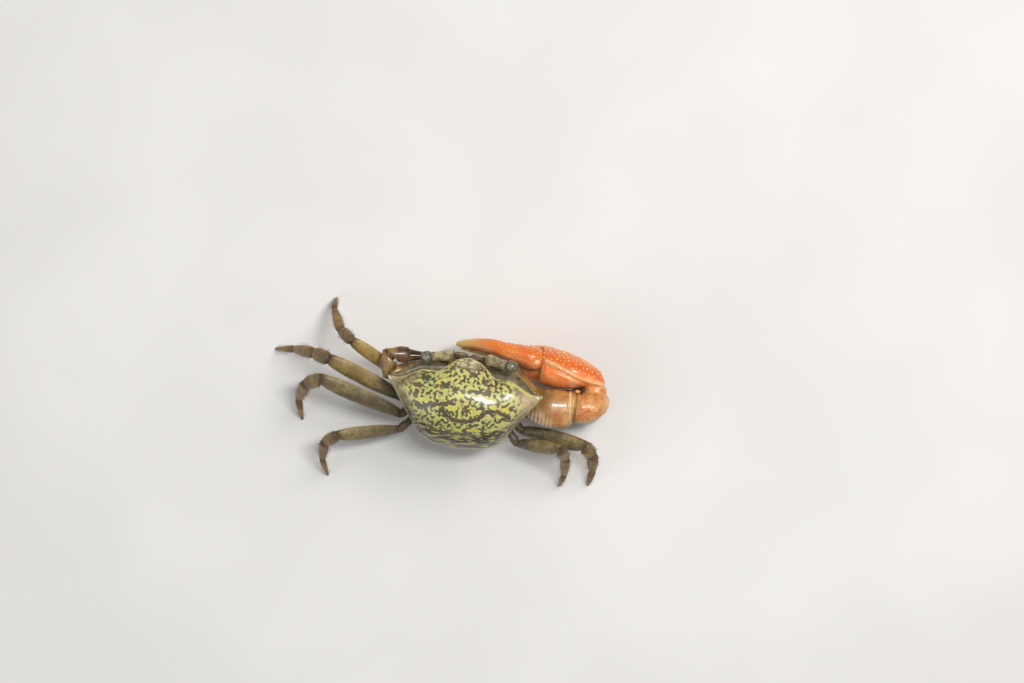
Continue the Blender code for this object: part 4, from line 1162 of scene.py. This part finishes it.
HIP_LEVEL = -5.0
HIP_START = 5.45 + JOINT_GAP
# How golden each leg's longest case is, against olive-grey.
LEG_GOLD = {
    "left_1": 1.0, "left_2": 0.6, "left_3": 0.1, "left_4": 0.25, "right_3": 0.2, "right_4": 0.35,
}
LEG_PARTS = ("hip", "merus", "carpus", "propodus", "dactyl")
# Where the bristles begin and end on each lower part, as shares of its length, and their size. The
# front right leg, which lies under the great claw, has none.
BRISTLED = {"carpus": (0.15, 0.9, 1), "propodus": (0.15, 0.9, 1), "dactyl": (0.05, 0.85, 0.8)}
BARE_LEG = "right_1"
LEG_PROFILES = (
    [(0, 0.95, 1.2), (0.35, 1.1, 1.25), (0.55, 0.98, 1.1), (0.8, 1.15, 1.1), (1, 1.1, 1.0)],
    [
        (0, 1.2, 0.9), (0.06, 1.5, 1.05), (0.2, 1.95, 1.15), (0.45, 2.35, 1.25), (0.7, 2.4, 1.3),
        (0.88, 2.15, 1.25), (1, 1.65, 1.0),
    ],
    [(0, 1.5, 0.95), (0.25, 1.85, 1.2), (0.65, 1.85, 1.2), (0.87, 1.6, 1.05), (1, 1.35, 0.9)],
    [(0, 1.3, 0.85), (0.12, 1.5, 0.95), (0.4, 1.55, 1.0), (0.8, 1.2, 0.85), (1, 0.95, 0.7)],
    [(0, 0.88, 0.65), (0.2, 0.9, 0.68), (0.5, 0.7, 0.58), (0.8, 0.5, 0.45), (1, 0.38, 0.36)],
)
SLIGHT_LEG = 0.85
MERUS_LEAN = math.radians(30)
FOOT_BOW = 0.3
LEG_EDGE = 1.75
RING_CLEARANCE = 0.05
LEG_SIDES = 32
LIMB_STEP = 0.28
COLLAR = 0.05
LIMB_MARKS = ("joint", "distal", "ridge", "gold")
JOINT_SHADE = 0.38
EDGE_WIDTH = 0.14


def joint_planes(points, first, last):
    """Unit normals of the planes between which a limb's cases lie. At each joint the plane
    halves the bend."""
    planes = [first]
    for before, at, after in zip(points, points[1:], points[2:]):
        planes.append(((at - before).normalized() + (after - at).normalized()).normalized())
    return [*planes, last]


def limb_frame(start, end, lean):
    """Directions of a limb: along it, across its breadth, through its thickness, and its
    upper side."""
    axis = (end - start).normalized()
    level = axis.cross(Vector((0, 0, 1))).normalized()
    up = level.cross(axis)
    broad = level * math.cos(lean) + up * math.sin(lean)
    return axis, broad, up * math.cos(lean) - level * math.sin(lean), up


def limb_rings(start, end, cuts, lean, sections, bow=0.0, power=2.0, step=LIMB_STEP):
    """Rings from joint to joint. The end rings lie in the joints' own planes, half a gap short
    of the joint, and a collar swells beside each."""
    axis, broad, thick, up = limb_frame(start, end, lean)
    first = start + axis * (JOINT_GAP / 2 / axis.dot(cuts[0]))
    last = end - axis * (JOINT_GAP / 2 / axis.dot(cuts[1]))
    length = (last - first).length
    rings = []
    for share in stations(0, 1, step / length):
        breadth, thickness = smooth_values(sections, share)
        near_end = swell(share * length - 0.25, 0.16) + swell((1 - share) * length - 0.3, 0.2)
        collar = 1 + COLLAR * near_end
        centre = first.lerp(last, share) + up * bow * 4 * share * (1 - share)
        cut = cuts[0] if share == 0 else cuts[1] if share == 1 else axis
        ring = []
        for across, over in superellipse(breadth * collar, thickness * collar, LEG_SIDES, power):
            offset = broad * across + thick * over
            offset -= axis * (offset.dot(cut) / axis.dot(cut))
            point = centre + offset
            if 0 < share < 1:
                clear = JOINT_GAP / 2 + RING_CLEARANCE
                near = max(clear - (point - start).dot(cuts[0]), 0) / axis.dot(cuts[0])
                far = max(clear - (end - point).dot(cuts[1]), 0) / axis.dot(cuts[1])
                point += axis * (near - far)
            point.z = max(point.z, 0)
            ring.append(point)
        rings.append(ring)
    return rings


def limb_marks(rings, number, count, ridged, gold=0.0):
    """For each ring point of one segment: how near a joint it is, how far down the limb, whether
    it lies on the segment's upper edge, and how golden it is."""
    marks = {name: [] for name in LIMB_MARKS}
    length = (rings[-1][0] - rings[0][0]).length
    for i in range(len(rings)):
        share = i / (len(rings) - 1)
        from_joint = min(share, 1 - share) * length
        marks["joint"].append([swell(from_joint, JOINT_SHADE) if number else 0.3] * len(rings[0]))
        marks["distal"].append([(number + share) / count] * len(rings[0]))
        golden = gold * (1 - fade(share, 0.25 * (1 - gold), 0.4 + 0.6 * (1 - gold)))
        marks["gold"].append([golden if number == 1 else 0] * len(rings[0]))
        sides = [math.sin(math.pi * k / len(rings[0])) for k in range(len(rings[0]))]
        marks["ridge"].append([swell(from_edge, EDGE_WIDTH) * ridged for from_edge in sides])
    return marks


# Damp, half-clear leg chitin: olive-brown with grey-black mottling on the long upper segments,
# golden brown towards the feet, dark at each joint and pale along the edges.
leg_skin, tree, shader, place = start_material(
    "damp_olive_leg_chitin", Roughness=0.46, Coat_Weight=0.3, Coat_Roughness=0.2, Coat_IOR=1.33,
    Subsurface_Weight=0.15, Subsurface_Scale=0.4 * MM,
)
cloud = mottling(tree, place, 1.6, 0.38, 0.64, 3.0)
upper = tinted(tree, "665C42", "857850", cloud)
# Painted shade: the legs darken towards the body, where they pass under the edge of the shell.
upper = tinted(tree, upper, "453D2B", "distal", 0.55, between=(0.34, 0.22), fall="LINEAR")
upper = tinted(tree, upper, tinted(tree, "8F7338", "A98D4C", cloud), "gold")
lower = tinted(tree, "75562A", "967640", cloud)
skin = tinted(tree, upper, lower, "distal", between=(0.36, 0.5), fall="LINEAR")
veins = add_node(
    tree, "ShaderNodeTexVoronoi", {"Vector": place, "Scale": 1 / (0.55 * MM)},
    feature="DISTANCE_TO_EDGE",
).outputs["Distance"]
skin = tinted(tree, skin, "3F3928", veins, 0.25, between=(0.12, 0.02), fall="LINEAR")
gold = add_node(tree, "ShaderNodeAttribute", attribute_name="gold").outputs["Fac"]
bare = add_node(tree, "ShaderNodeMath", {0: 0.55, 1: gold}, operation="SUBTRACT", use_clamp=True)
blotch = add_node(
    tree, "ShaderNodeMath", {0: mottling(tree, place, 0.7, 0.5, 0.66, 4.0, 0.6), 1: bare.outputs[0]},
    operation="MULTIPLY",
).outputs[0]
skin = tinted(tree, skin, "423B2B", blotch)
skin = tinted(tree, skin, "4A3A22", mottling(tree, place, 0.35, 0.58, 0.68), 0.5)
skin = tinted(tree, skin, "C4B078", "ridge", 0.6)
skin = tinted(tree, skin, "4B3620", "joint", 0.62)
skin = tinted(tree, skin, "3A2614", "distal", between=(0.93, 1.0), fall="LINEAR")
tree.links.new(skin, shader.inputs["Base Color"])
fine_relief(tree, shader, place, 0.25, 0.3, 0.03)

leg_joints = []
bristle_lines = []
for leg, bends in LEG_POSES.items():
    side = 1 if leg.startswith("left") else -1
    socket = trunk_point(side * (HIP_START - JOINT_GAP / 2), HIP_PLACES[leg[-1]], HIP_LEVEL)
    points = [socket] + [Vector(point) for point in bends]
    cuts = joint_planes(points, Vector((side, 0, 0)), Vector((0, 0, -1)))
    size = SLIGHT_LEG if leg[-1] in "14" or leg == "right_2" else 1.0
    bodies = []
    marks = {name: [] for name in LIMB_MARKS}
    for i, profile in enumerate(LEG_PROFILES):
        scale = 1.0 if i == 0 else size
        sections = [(share, wide * scale, thick * scale) for share, wide, thick in profile]
        lean = side * MERUS_LEAN if i == 1 else 0
        end = points[i + 1]
        bow = 0.0
        if i == len(LEG_PARTS) - 1:
            end = end - Vector((0, 0, JOINT_GAP / 2))
            bow = FOOT_BOW
        power = LEG_EDGE if i else 2.0
        rings = limb_rings(points[i], end, (cuts[i], cuts[i + 1]), lean, sections, bow, power)
        bodies.append(rings)
        ridged = 1 if i in (1, 2, 3) else 0
        for name, rows in limb_marks(rings, i, len(LEG_PARTS), ridged, LEG_GOLD.get(leg, 0)).items():
            marks[name].append(rows)
        if LEG_PARTS[i] not in BRISTLED or leg == BARE_LEG:
            continue
        axis, broad, thick, up = limb_frame(points[i], end, lean)
        first, last, size_there = BRISTLED[LEG_PARTS[i]]
        for edge, way in ((0, broad), (LEG_SIDES // 2, -broad)):
            chosen = [ring[edge] for ring in rings[int(first * len(rings)) : int(last * len(rings))]]
            out = (way + axis * 0.8 - up * 0.3).normalized()
            bristle_lines.append([(point - way * 0.05, out, size_there) for point in chosen])
    leg_piece = make_piece(f"walking_leg_{leg}", bodies, leg_skin, marks)
    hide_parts(*[f"leg_{leg}_{part}" for part in LEG_PARTS])
    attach(leg_piece, "root")
    leg_joints += [joint_rings(a[-1], b[0], 0.93) for a, b in zip(bodies, bodies[1:])]
    leg_joints.append(socket_rings(bodies[0][0], side))
leg_joint = make_piece("leg_joint_skin", leg_joints, joint_skin)
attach(leg_joint, "root")

# Bristles along the edges of the lower leg segments: stiff brown hairs of chitin, drawn a little
# thicker than the real ones so that they show.
bristle_skin = two_toned("brown_bristle", "3E2C18", "6A5030", 0.8, 0.4, 0.6, 1.0, Roughness=0.5)
BRISTLE = {"Spacing": 0.36 * MM, "Radius": 0.035 * MM, "Blunt": 0.2, "Height": 0.5 * MM, "Spread": 0.3}
bristles = grow("leg_bristles", bristle_lines, cone_rows, BRISTLE, 12, bristle_skin)
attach(bristles, "root")

# Feeding claw: the small left claw, folded under the left eye. Its hard cases are thin chitin, dark
# brown and very wet at the hand. Its two fingers end in little spoons that lift food to the mouth.
FEEDING_SOCKET = (HIP_START - JOINT_GAP / 2, -1.0, HIP_LEVEL)
FEEDING_POINTS = ((10.1, -0.3, 9.0), (10.45, -2.85, 9.5), (7.6, -3.0, 9.0), (5.3, -3.25, 8.2))
FEEDING_SECTIONS = {
    "arm": [(0, 1.2, 1.2), (0.35, 1.5, 1.3), (0.75, 1.65, 1.35), (1, 1.2, 1.1)],
    "wrist": [(0, 1.3, 1.1), (0.3, 2.15, 1.45), (0.6, 2.3, 1.55), (1, 1.4, 1.1)],
    "palm": [(0, 1.2, 1.1), (0.25, 1.8, 1.4), (0.6, 2.15, 1.5), (0.85, 2.05, 1.35), (1, 1.7, 1.15)],
    "finger": [(0, 0.78, 1.0), (0.4, 0.62, 0.8), (0.75, 0.5, 0.55), (0.9, 0.55, 0.45), (1, 0.35, 0.3)],
}
FEEDING_PARTS = len(FEEDING_SECTIONS)
FINGER_PARTING = (0.42, 0.16)
FINGER_REACH = 0.5
feeding_skin, tree, shader, place = start_material(
    "wet_brown_chitin", Roughness=0.34, Coat_Weight=0.9, Coat_Roughness=0.06, Coat_IOR=1.33,
    Subsurface_Weight=0.12, Subsurface_Scale=0.4 * MM,
)
cloud = mottling(tree, place, 1.1, 0.4, 0.64, 3.0)
hand = tinted(tree, "3A2A1C", "6B4A2E", cloud)
arm = tinted(tree, "70562F", "997A46", cloud)
skin = tinted(tree, arm, hand, "distal", between=(0.52, 0.6), fall="LINEAR")
skin = tinted(tree, skin, "C8A070", "ridge", 0.6)
tree.links.new(skin, shader.inputs["Base Color"])
points = [trunk_point(*FEEDING_SOCKET)] + [Vector(point) for point in FEEDING_POINTS]
cuts = joint_planes(points, Vector((1, 0, 0)), (points[-1] - points[-2]).normalized())
bodies = []
marks = {name: [] for name in LIMB_MARKS}
for i, sections in enumerate(FEEDING_SECTIONS.values()):
    across = limb_frame(points[i], points[i + 1], 0)[1]
    for way in (-1, 1) if i == FEEDING_PARTS - 1 else (0,):
        start, end = (points[i + j] + across * way * FINGER_PARTING[j] for j in (0, 1))
        if way:
            start -= (end - start).normalized() * FINGER_REACH
        rings = limb_rings(start, end, (cuts[i], cuts[i + 1]), 0, sections)
        bodies.append(rings)
        for name, rows in limb_marks(rings, i, FEEDING_PARTS, 1).items():
            marks[name].append(rows)
feeding_claw = make_piece("feeding_claw", bodies, feeding_skin, marks)
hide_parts(*[f"minor_claw_{part}" for part in FEEDING_SECTIONS])
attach(feeding_claw, "root")
tubes = [joint_rings(a[-1], b[0], 0.95) for a, b in zip(bodies, bodies[1:3])]
tubes.append(socket_rings(bodies[0][0], 1))
feeding_joint = make_piece("feeding_claw_joint_skin", tubes, joint_skin)
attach(feeding_joint, "root")

# Eyes: a short jointed stalk of olive chitin carries each, and a clear cornea of tiny facets caps it,
# grey-green, with painted shade in a dark band round its sides. The stalk folds down into the groove
# below the shell.
EYESTALKS = {
    "left": ((2.25, -3.75, 11.2), (4.9, -3.2, 13.6), 1.6),
    "right": ((-2.2, -3.8, 11.2), (-4.95, -3.4, 13.6), 1.75),
}
STALK_SECTIONS = [
    (0, 0.75, 0.75), (0.04, 1.2, 1.2), (0.14, 1.55, 1.5), (0.4, 1.4, 1.35), (0.7, 1.15, 1.15),
    (0.9, 1.2, 1.2), (1, 1.15, 1.15),
]
EYE_SECTIONS = [
    (0, 1.2, 1.2), (0.15, 1.45, 1.45), (0.4, 1.6, 1.6), (0.65, 1.45, 1.45), (0.85, 1.0, 1.0),
    (1, 0.35, 0.35),
]
# Soft joint on which each stalk turns: from inside the eye groove into the stalk's root.
STALK_SOCKET = (1.95, -1.5, -1.45)
STALK_REACH = 0.5
STALK_JOINT = [(0, 1.3, 1.3), (0.35, 1.05, 1.05), (0.7, 1.15, 1.1), (1, 0.8, 0.8)]
FINE_STEP = 0.08
# The facets of a real cornea are about 0.02 mm across, drawn coarser so that they show.
FACET = 0.07
EYE_MIDDLE = 0.42
stalk_skin, tree, shader, place = start_material(
    "damp_eyestalk_chitin", Roughness=0.4, Coat_Weight=0.7, Coat_Roughness=0.1, Coat_IOR=1.33
)
skin = tinted(tree, "77694A", "A6986E", mottling(tree, place, 0.8, 0.4, 0.64, 3.0))
skin = tinted(tree, skin, "3A3224", mottling(tree, place, 0.3, 0.56, 0.68), 0.6)
tree.links.new(skin, shader.inputs["Base Color"])
cornea, tree, shader, place = start_material(
    "faceted_cornea", Roughness=0.3, Coat_Weight=1.0, Coat_Roughness=0.03, Coat_IOR=1.37
)
pale = tinted(tree, "5A5B4A", "82816A", mottling(tree, place, 0.5, 0.4, 0.62))
# Painted shade: a dark band round the sides of the ball, which turn away from the light above. It fades
# out above, and lower down into the paler root.
skin = tinted(tree, pale, "26271F", "lift", 0.85, between=(0.78, 0.6), fall="LINEAR")
skin = tinted(tree, skin, pale, "lift", between=(0.1, -0.2), fall="LINEAR")
tree.links.new(skin, shader.inputs["Base Color"])
facets = add_node(tree, "ShaderNodeTexVoronoi", {"Vector": place, "Scale": 1 / (FACET * MM)})
bump = add_node(
    tree, "ShaderNodeBump",
    {"Height": facets.outputs["Distance"], "Strength": 0.15, "Distance": 0.01 * MM},
)
tree.links.new(bump.outputs["Normal"], shader.inputs["Normal"])
for name, (root, top, length) in EYESTALKS.items():
    base, end = Vector(root), Vector(top)
    axis = (end - base).normalized()
    stalk = limb_rings(base, end, (axis, axis), 0, STALK_SECTIONS, step=FINE_STEP)
    ball = limb_rings(end, end + axis * length, (axis, axis), 0, EYE_SECTIONS, step=FINE_STEP)
    inner = trunk_point(math.copysign(STALK_SOCKET[0], root[0]), *STALK_SOCKET[1:])
    outer = base + axis * STALK_REACH
    way = (outer - inner).normalized()
    socket = limb_rings(inner, outer, (way, way), 0, STALK_JOINT, step=FINE_STEP)
    piece = make_case(f"eyestalk_{name}_joint_skin", socket, joint_skin)
    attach(piece, "root")
    collar = joint_rings(stalk[-1], ball[0], 0.9)
    piece = make_piece(f"eyestalk_{name}_skin", [stalk, collar], stalk_skin)
    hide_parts(f"eyestalk_{name}")
    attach(piece, "root")
    middle = end + axis * length * EYE_MIDDLE
    rows = [[(point - middle).normalized().z for point in ring] for ring in ball]
    piece = make_case(f"eye_{name}_cornea", ball, cornea, {"lift": rows})
    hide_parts(f"eye_{name}")
    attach(piece, "root")

# Chest plate: the smooth, pale underside between the leg sockets. Shallow sutures cross it where
# its segments have grown together, and a groove down its middle holds the tail. Soft skin closes
# the gap between it and the trunk.
STERNUM = [(-1.5, 1.6, 0.35), (-0.6, 3.2, 0.5), (1.5, 4.7, 0.5), (4.0, 4.9, 0.5), (6.3, 4.2, 0.5)]
STERNUM_TOP = -6.0
STERNUM_THICKNESS = 1.1
STERNUM_STEP = 0.1
CHEST_SET_BACK = 0.3
SKIN_SQUARENESS = 4.0
SUTURES = (-0.3, 1.3, 2.9, 4.6)
SUTURE_DEPTH = 0.1
SUTURE_WIDTH = 0.09
TAIL_HALF_BREADTH = [(0, 0.35), (0.7, 0.85), (3.4, 1.5), (6.7, 2.0), (8.4, 2.0), (11.4, 2.3)]
TAIL_TIP = -0.4
TAIL_THICKNESS = 0.62
TAIL_SEGMENT_ENDS = (1.3, 2.7, 4.2, 5.7, 7.3, 9.2)
TAIL_LENGTH = 11.2
belly_skin, tree, shader, place = start_material(
    "pale_belly_chitin", Roughness=0.42, Coat_Weight=0.5, Coat_Roughness=0.15, Coat_IOR=1.33,
    Subsurface_Weight=0.12, Subsurface_Scale=0.5 * MM,
)
skin = tinted(tree, "A79872", "CDBF97", mottling(tree, place, 2.2, 0.38, 0.64, 3.0))
skin = tinted(tree, skin, "6B5E40", mottling(tree, place, 0.45, 0.58, 0.7, 3.0), 0.55)
skin = tinted(tree, skin, "5E4A2E", "seam", 0.7)
tree.links.new(skin, shader.inputs["Base Color"])
fine_relief(tree, shader, place, 0.3, 0.25, 0.03)

sternum_rings = []
seams = []
low = STERNUM_TOP - STERNUM_THICKNESS
for place in stations(STERNUM[0][0], STERNUM[-1][0], STERNUM_STEP):
    half, groove = smooth_values(STERNUM, place)
    slot = min(smooth_value(TAIL_HALF_BREADTH, max(place - TAIL_TIP, 0)) + JOINT_GAP, half - 0.5)
    bent = max(swell(place - suture, SUTURE_WIDTH) for suture in SUTURES)
    floor = low + SUTURE_DEPTH * bent
    profile = [
        (half, STERNUM_TOP), (half, floor + 0.35), (half - 0.35, floor),
        (0.5 * (half + slot), floor), (slot + 0.12, floor), (slot, low + groove),
        (0, low + groove), (-slot, low + groove), (-slot - 0.12, floor),
        (-0.5 * (half + slot), floor), (0.35 - half, floor), (-half, floor + 0.35),
        (-half, STERNUM_TOP), (0, STERNUM_TOP),
    ]
    ring = rounded([profile[-1], *profile, *profile[:2]], 4)
    sternum_rings.append([trunk_point(x, place, z) for x, z in ring])
    seams.append([bent if abs(x) > slot and z < STERNUM_TOP - 0.5 else 0 for x, z in ring])
chest = make_case("chest_plate", sternum_rings, belly_skin, {"seam": seams})
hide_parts("sternum")
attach(chest, "root")
chest_rings = []
for place in stations(STERNUM[0][0] + CHEST_SET_BACK, STERNUM[-1][0] - CHEST_SET_BACK, STERNUM_STEP):
    half = smooth_value(STERNUM, place) - CHEST_SET_BACK
    outline = superellipse(2 * half, 2 * JOINT_GAP, LEG_SIDES, SKIN_SQUARENESS)
    middle = STERNUM_TOP + JOINT_GAP / 2
    chest_rings.append([trunk_point(x, place, middle + z) for x, z in outline])
chest_skin = make_case("chest_skin", chest_rings, joint_skin)
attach(chest_skin, "root")

# Tail: the male's narrow flap of seven hard rings with soft seams between them, folded forwards
# under the chest and bent up behind the trunk.
TAIL_START = 0.02
TAIL_STEP = 0.07
TAIL_NEAR = 0.2
TAIL_SEAM = 0.18
TAIL_SIDES = 48
TAIL_SQUARENESS = 3.0
level = low + 0.5 - JOINT_GAP - TAIL_THICKNESS / 2
tail_line = [
    (0, TAIL_TIP, level), (1, 0.6, level), (6.9, 6.45, level), (8.1, 7.45, level + 0.75),
    (9.4, 8.05, -5.3), (10.9, 8.75, -3.9), (12.1, 9.05, -2.8),
]
tail_rings = []
seams = []
for place in stations(TAIL_START, TAIL_LENGTH, TAIL_STEP):
    before, here, after = (
        Vector((0, *smooth_values(tail_line, at)))
        for at in (max(place - TAIL_NEAR, 0), place, place + TAIL_NEAR)
    )
    outward = (after - before).normalized().cross(Vector((1, 0, 0)))
    seam = max(swell(place - end, 0.1) for end in TAIL_SEGMENT_ENDS)
    ends = swell(place, 0.15) + swell(place - TAIL_LENGTH, 0.15)
    breadth = 2 * smooth_value(TAIL_HALF_BREADTH, place) - TAIL_SEAM * seam - 0.3 * ends
    thickness = TAIL_THICKNESS - TAIL_SEAM * seam - 0.25 * ends
    outline = superellipse(breadth, thickness, TAIL_SIDES, TAIL_SQUARENESS)
    ring = [here + Vector((x, 0, 0)) + outward * z for x, z in outline]
    tail_rings.append([trunk_point(*point) for point in ring])
    seams.append([seam] * TAIL_SIDES)
tail = make_case("tail_flap", tail_rings, belly_skin, {"seam": seams})
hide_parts("abdomen")
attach(tail, "root")

# Mouth: two flat outer plates that shut it like doors, and the small jointed feelers beside the
# eyestalks.
MOUTH_PLATE_ENDS = ((1.25, -2.55, -5.6), (1.25, -3.5, -2.6))
MOUTH_PLATE_SECTIONS = [
    (0, 1.2, 0.5), (0.15, 1.9, 0.55), (0.5, 2.15, 0.6), (0.62, 2.1, 0.5), (0.7, 2.1, 0.6),
    (0.88, 1.8, 0.55), (1, 1.3, 0.5),
]
PLATE_SQUARENESS = 2.4
PLATE_CREASE = 0.62
FRINGE_OUT = (-0.3, -0.9, 0.1)
FRINGE_SIZE = 0.8
# Soft skin behind the plates: height, middle, breadth and depth in the trunk's frame.
MOUTH_SKIN = [
    (-5.5, -2.15, 3.5, 0.5), (-5.2, -2.25, 4.2, 0.7), (-4.0, -2.62, 4.3, 0.7),
    (-3.0, -2.92, 4.2, 0.7), (-2.75, -2.95, 3.5, 0.5),
]
SKIN_STEP = 0.1
FEELER_ENDS = ((3.1, -3.65, 10.2), (4.7, -3.75, 10.65))
FEELER_SECTIONS = [(0, 0.55, 0.55), (0.4, 0.5, 0.5), (1, 0.25, 0.25)]
FEELER_RINGS = 6
FEELER_NOTCH = 0.16
FEELER_MARKS = {"distal": 0.6, "ridge": 0, "gold": 0}
mouth_lines = []
for side, name in ((1, "left"), (-1, "right")):
    low_end, high_end = [trunk_point(side * x, y, z) for x, y, z in MOUTH_PLATE_ENDS]
    axis = (high_end - low_end).normalized()
    rings = limb_rings(
        low_end, high_end, (axis, axis), 0, MOUTH_PLATE_SECTIONS, power=PLATE_SQUARENESS, step=FINE_STEP
    )
    crease = []
    for i in range(len(rings)):
        share = i / (len(rings) - 1)
        dark = max(swell(share - PLATE_CREASE, 0.03), 1 - fade(share, 0.7, 0.95))
        crease.append([dark] * LEG_SIDES)
    piece = make_case(f"mouth_plate_{name}", rings, belly_skin, {"seam": crease})
    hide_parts(f"maxilliped_{name}")
    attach(piece, "root")
    edge = LEG_SIDES // 2 if side > 0 else 0
    chosen = [ring[edge] for ring in rings[4:-4]]
    out = (side * FRINGE_OUT[0], *FRINGE_OUT[1:])
    mouth_lines.append([(point, out, FRINGE_SIZE) for point in chosen])
    root, tip = [Vector((side * x, y, z)) for x, y, z in FEELER_ENDS]
    axis = (tip - root).normalized()
    rings = limb_rings(root, tip, (axis, axis), 0, FEELER_SECTIONS, step=FINE_STEP)
    marks = {name: [[value] * LEG_SIDES] * len(rings) for name, value in FEELER_MARKS.items()}
    marks["joint"] = []
    for i, ring in enumerate(rings):
        notch = (0.5 + 0.5 * math.cos(math.tau * FEELER_RINGS * i / (len(rings) - 1))) ** 3
        centre = sum(ring, Vector()) / len(ring)
        for point in ring:
            point += (centre - point) * FEELER_NOTCH * notch
        marks["joint"].append([notch] * LEG_SIDES)
    piece = make_case(f"feeler_{name}", rings, leg_skin, marks)
    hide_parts(f"antenna_{name}")
    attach(piece, "root")
mouth_rings = []
for z in stations(MOUTH_SKIN[0][0], MOUTH_SKIN[-1][0], SKIN_STEP):
    middle, breadth, depth = smooth_values(MOUTH_SKIN, z)
    outline = superellipse(breadth, depth, LEG_SIDES, SKIN_SQUARENESS)
    mouth_rings.append([trunk_point(x, middle + y, z) for x, y in outline])
mouth_skin = make_case("mouth_skin", mouth_rings, joint_skin)
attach(mouth_skin, "root")
fringe = grow("mouth_fringe", mouth_lines, cone_rows, BRISTLE, 14, bristle_skin)
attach(fringe, "root")

# Plain pale floor, soft studio light and the camera of the photograph, which looks straight down.
# The floor is a board painted a matt warm white, so that nothing on it shines. The key light
# doesn't show in the wet shell, so the strip leaves the one long highlight there.
floor_paint = two_toned("pale_floor_board", "DCDAD6", "E2E0DC", 30, 0.35, 0.7, 2.0, Roughness=0.85)
FLOOR_HALF = 0.6
floor_mesh = bpy.data.meshes.new("floor_board")
corners = [(-1, -1), (1, -1), (1, 1), (-1, 1)]
floor_mesh.from_pydata([(x * FLOOR_HALF, y * FLOOR_HALF, 0) for x, y in corners], [], [(0, 1, 2, 3)])
floor_mesh.materials.append(floor_paint)
floor = bpy.data.objects.new("floor_board", floor_mesh)
bpy.context.scene.collection.objects.link(floor)

ROOM_LIGHT = 0.3
world = bpy.data.worlds.new("studio")
world.use_nodes = True
world.node_tree.nodes["Background"].inputs["Color"].default_value = colour("F2F3F5")
world.node_tree.nodes["Background"].inputs["Strength"].default_value = ROOM_LIGHT
bpy.context.scene.world = world
bpy.context.scene.view_settings.view_transform = "Standard"
# Name, place and sizes in metres, power in watts, colour, and turn of the long side in degrees.
LIGHTS = [
    ("key", (-0.16, -0.24, 0.34), (0.18, 0.18), 0.75, "FFFAF4", 0),
    ("fill", (0.30, 0.20, 0.30), (0.30, 0.30), 0.4, "F2F6FF", 0),
    ("strip", (-0.074, -0.056, 0.30), (0.14, 0.036), 0.55, "FFFFFF", 22),
]
LIT_POINT = Vector((0, 0, 0.008))
for name, at, size, power, tint, turn in LIGHTS:
    data = bpy.data.lights.new(name, "AREA")
    data.shape = "RECTANGLE"
    data.size, data.size_y = size
    data.energy = power
    data.color = colour(tint)[:3]
    lamp = bpy.data.objects.new(name, data)
    lamp.location = at
    lamp.visible_glossy = name != "key"
    back = (Vector(at) - LIT_POINT).normalized()
    turn = math.radians(turn)
    high = back.cross(Vector((math.cos(turn), math.sin(turn), 0))).normalized()
    lamp.rotation_euler = Matrix((high.cross(back), high, back)).transposed().to_euler()
    bpy.context.scene.collection.objects.link(lamp)

# The frame of the photograph: where its middle lies beside the crab, how it is turned, and its
# scale at the level of the shell.
FRAME_MIDDLE = (-5.12 * MM, -6.52 * MM)
FRAME_TURN = math.radians(187.8)
SHELL_TOP = 12 * MM
PIXELS_PER_METRE = 7800
PHOTO_WIDTH = 1024
LENS_MM = 150
SENSOR_MM = 36
data = bpy.data.cameras.new("camera")
data.lens = LENS_MM
data.sensor_width = SENSOR_MM
camera = bpy.data.objects.new("camera", data)
reach = LENS_MM / SENSOR_MM * PHOTO_WIDTH / PIXELS_PER_METRE
camera.location = STANCE + Vector((*FRAME_MIDDLE, SHELL_TOP + reach))
camera.rotation_euler = (0, 0, FRAME_TURN)
data.clip_start = 0.01
bpy.context.scene.collection.objects.link(camera)
bpy.context.scene.camera = camera
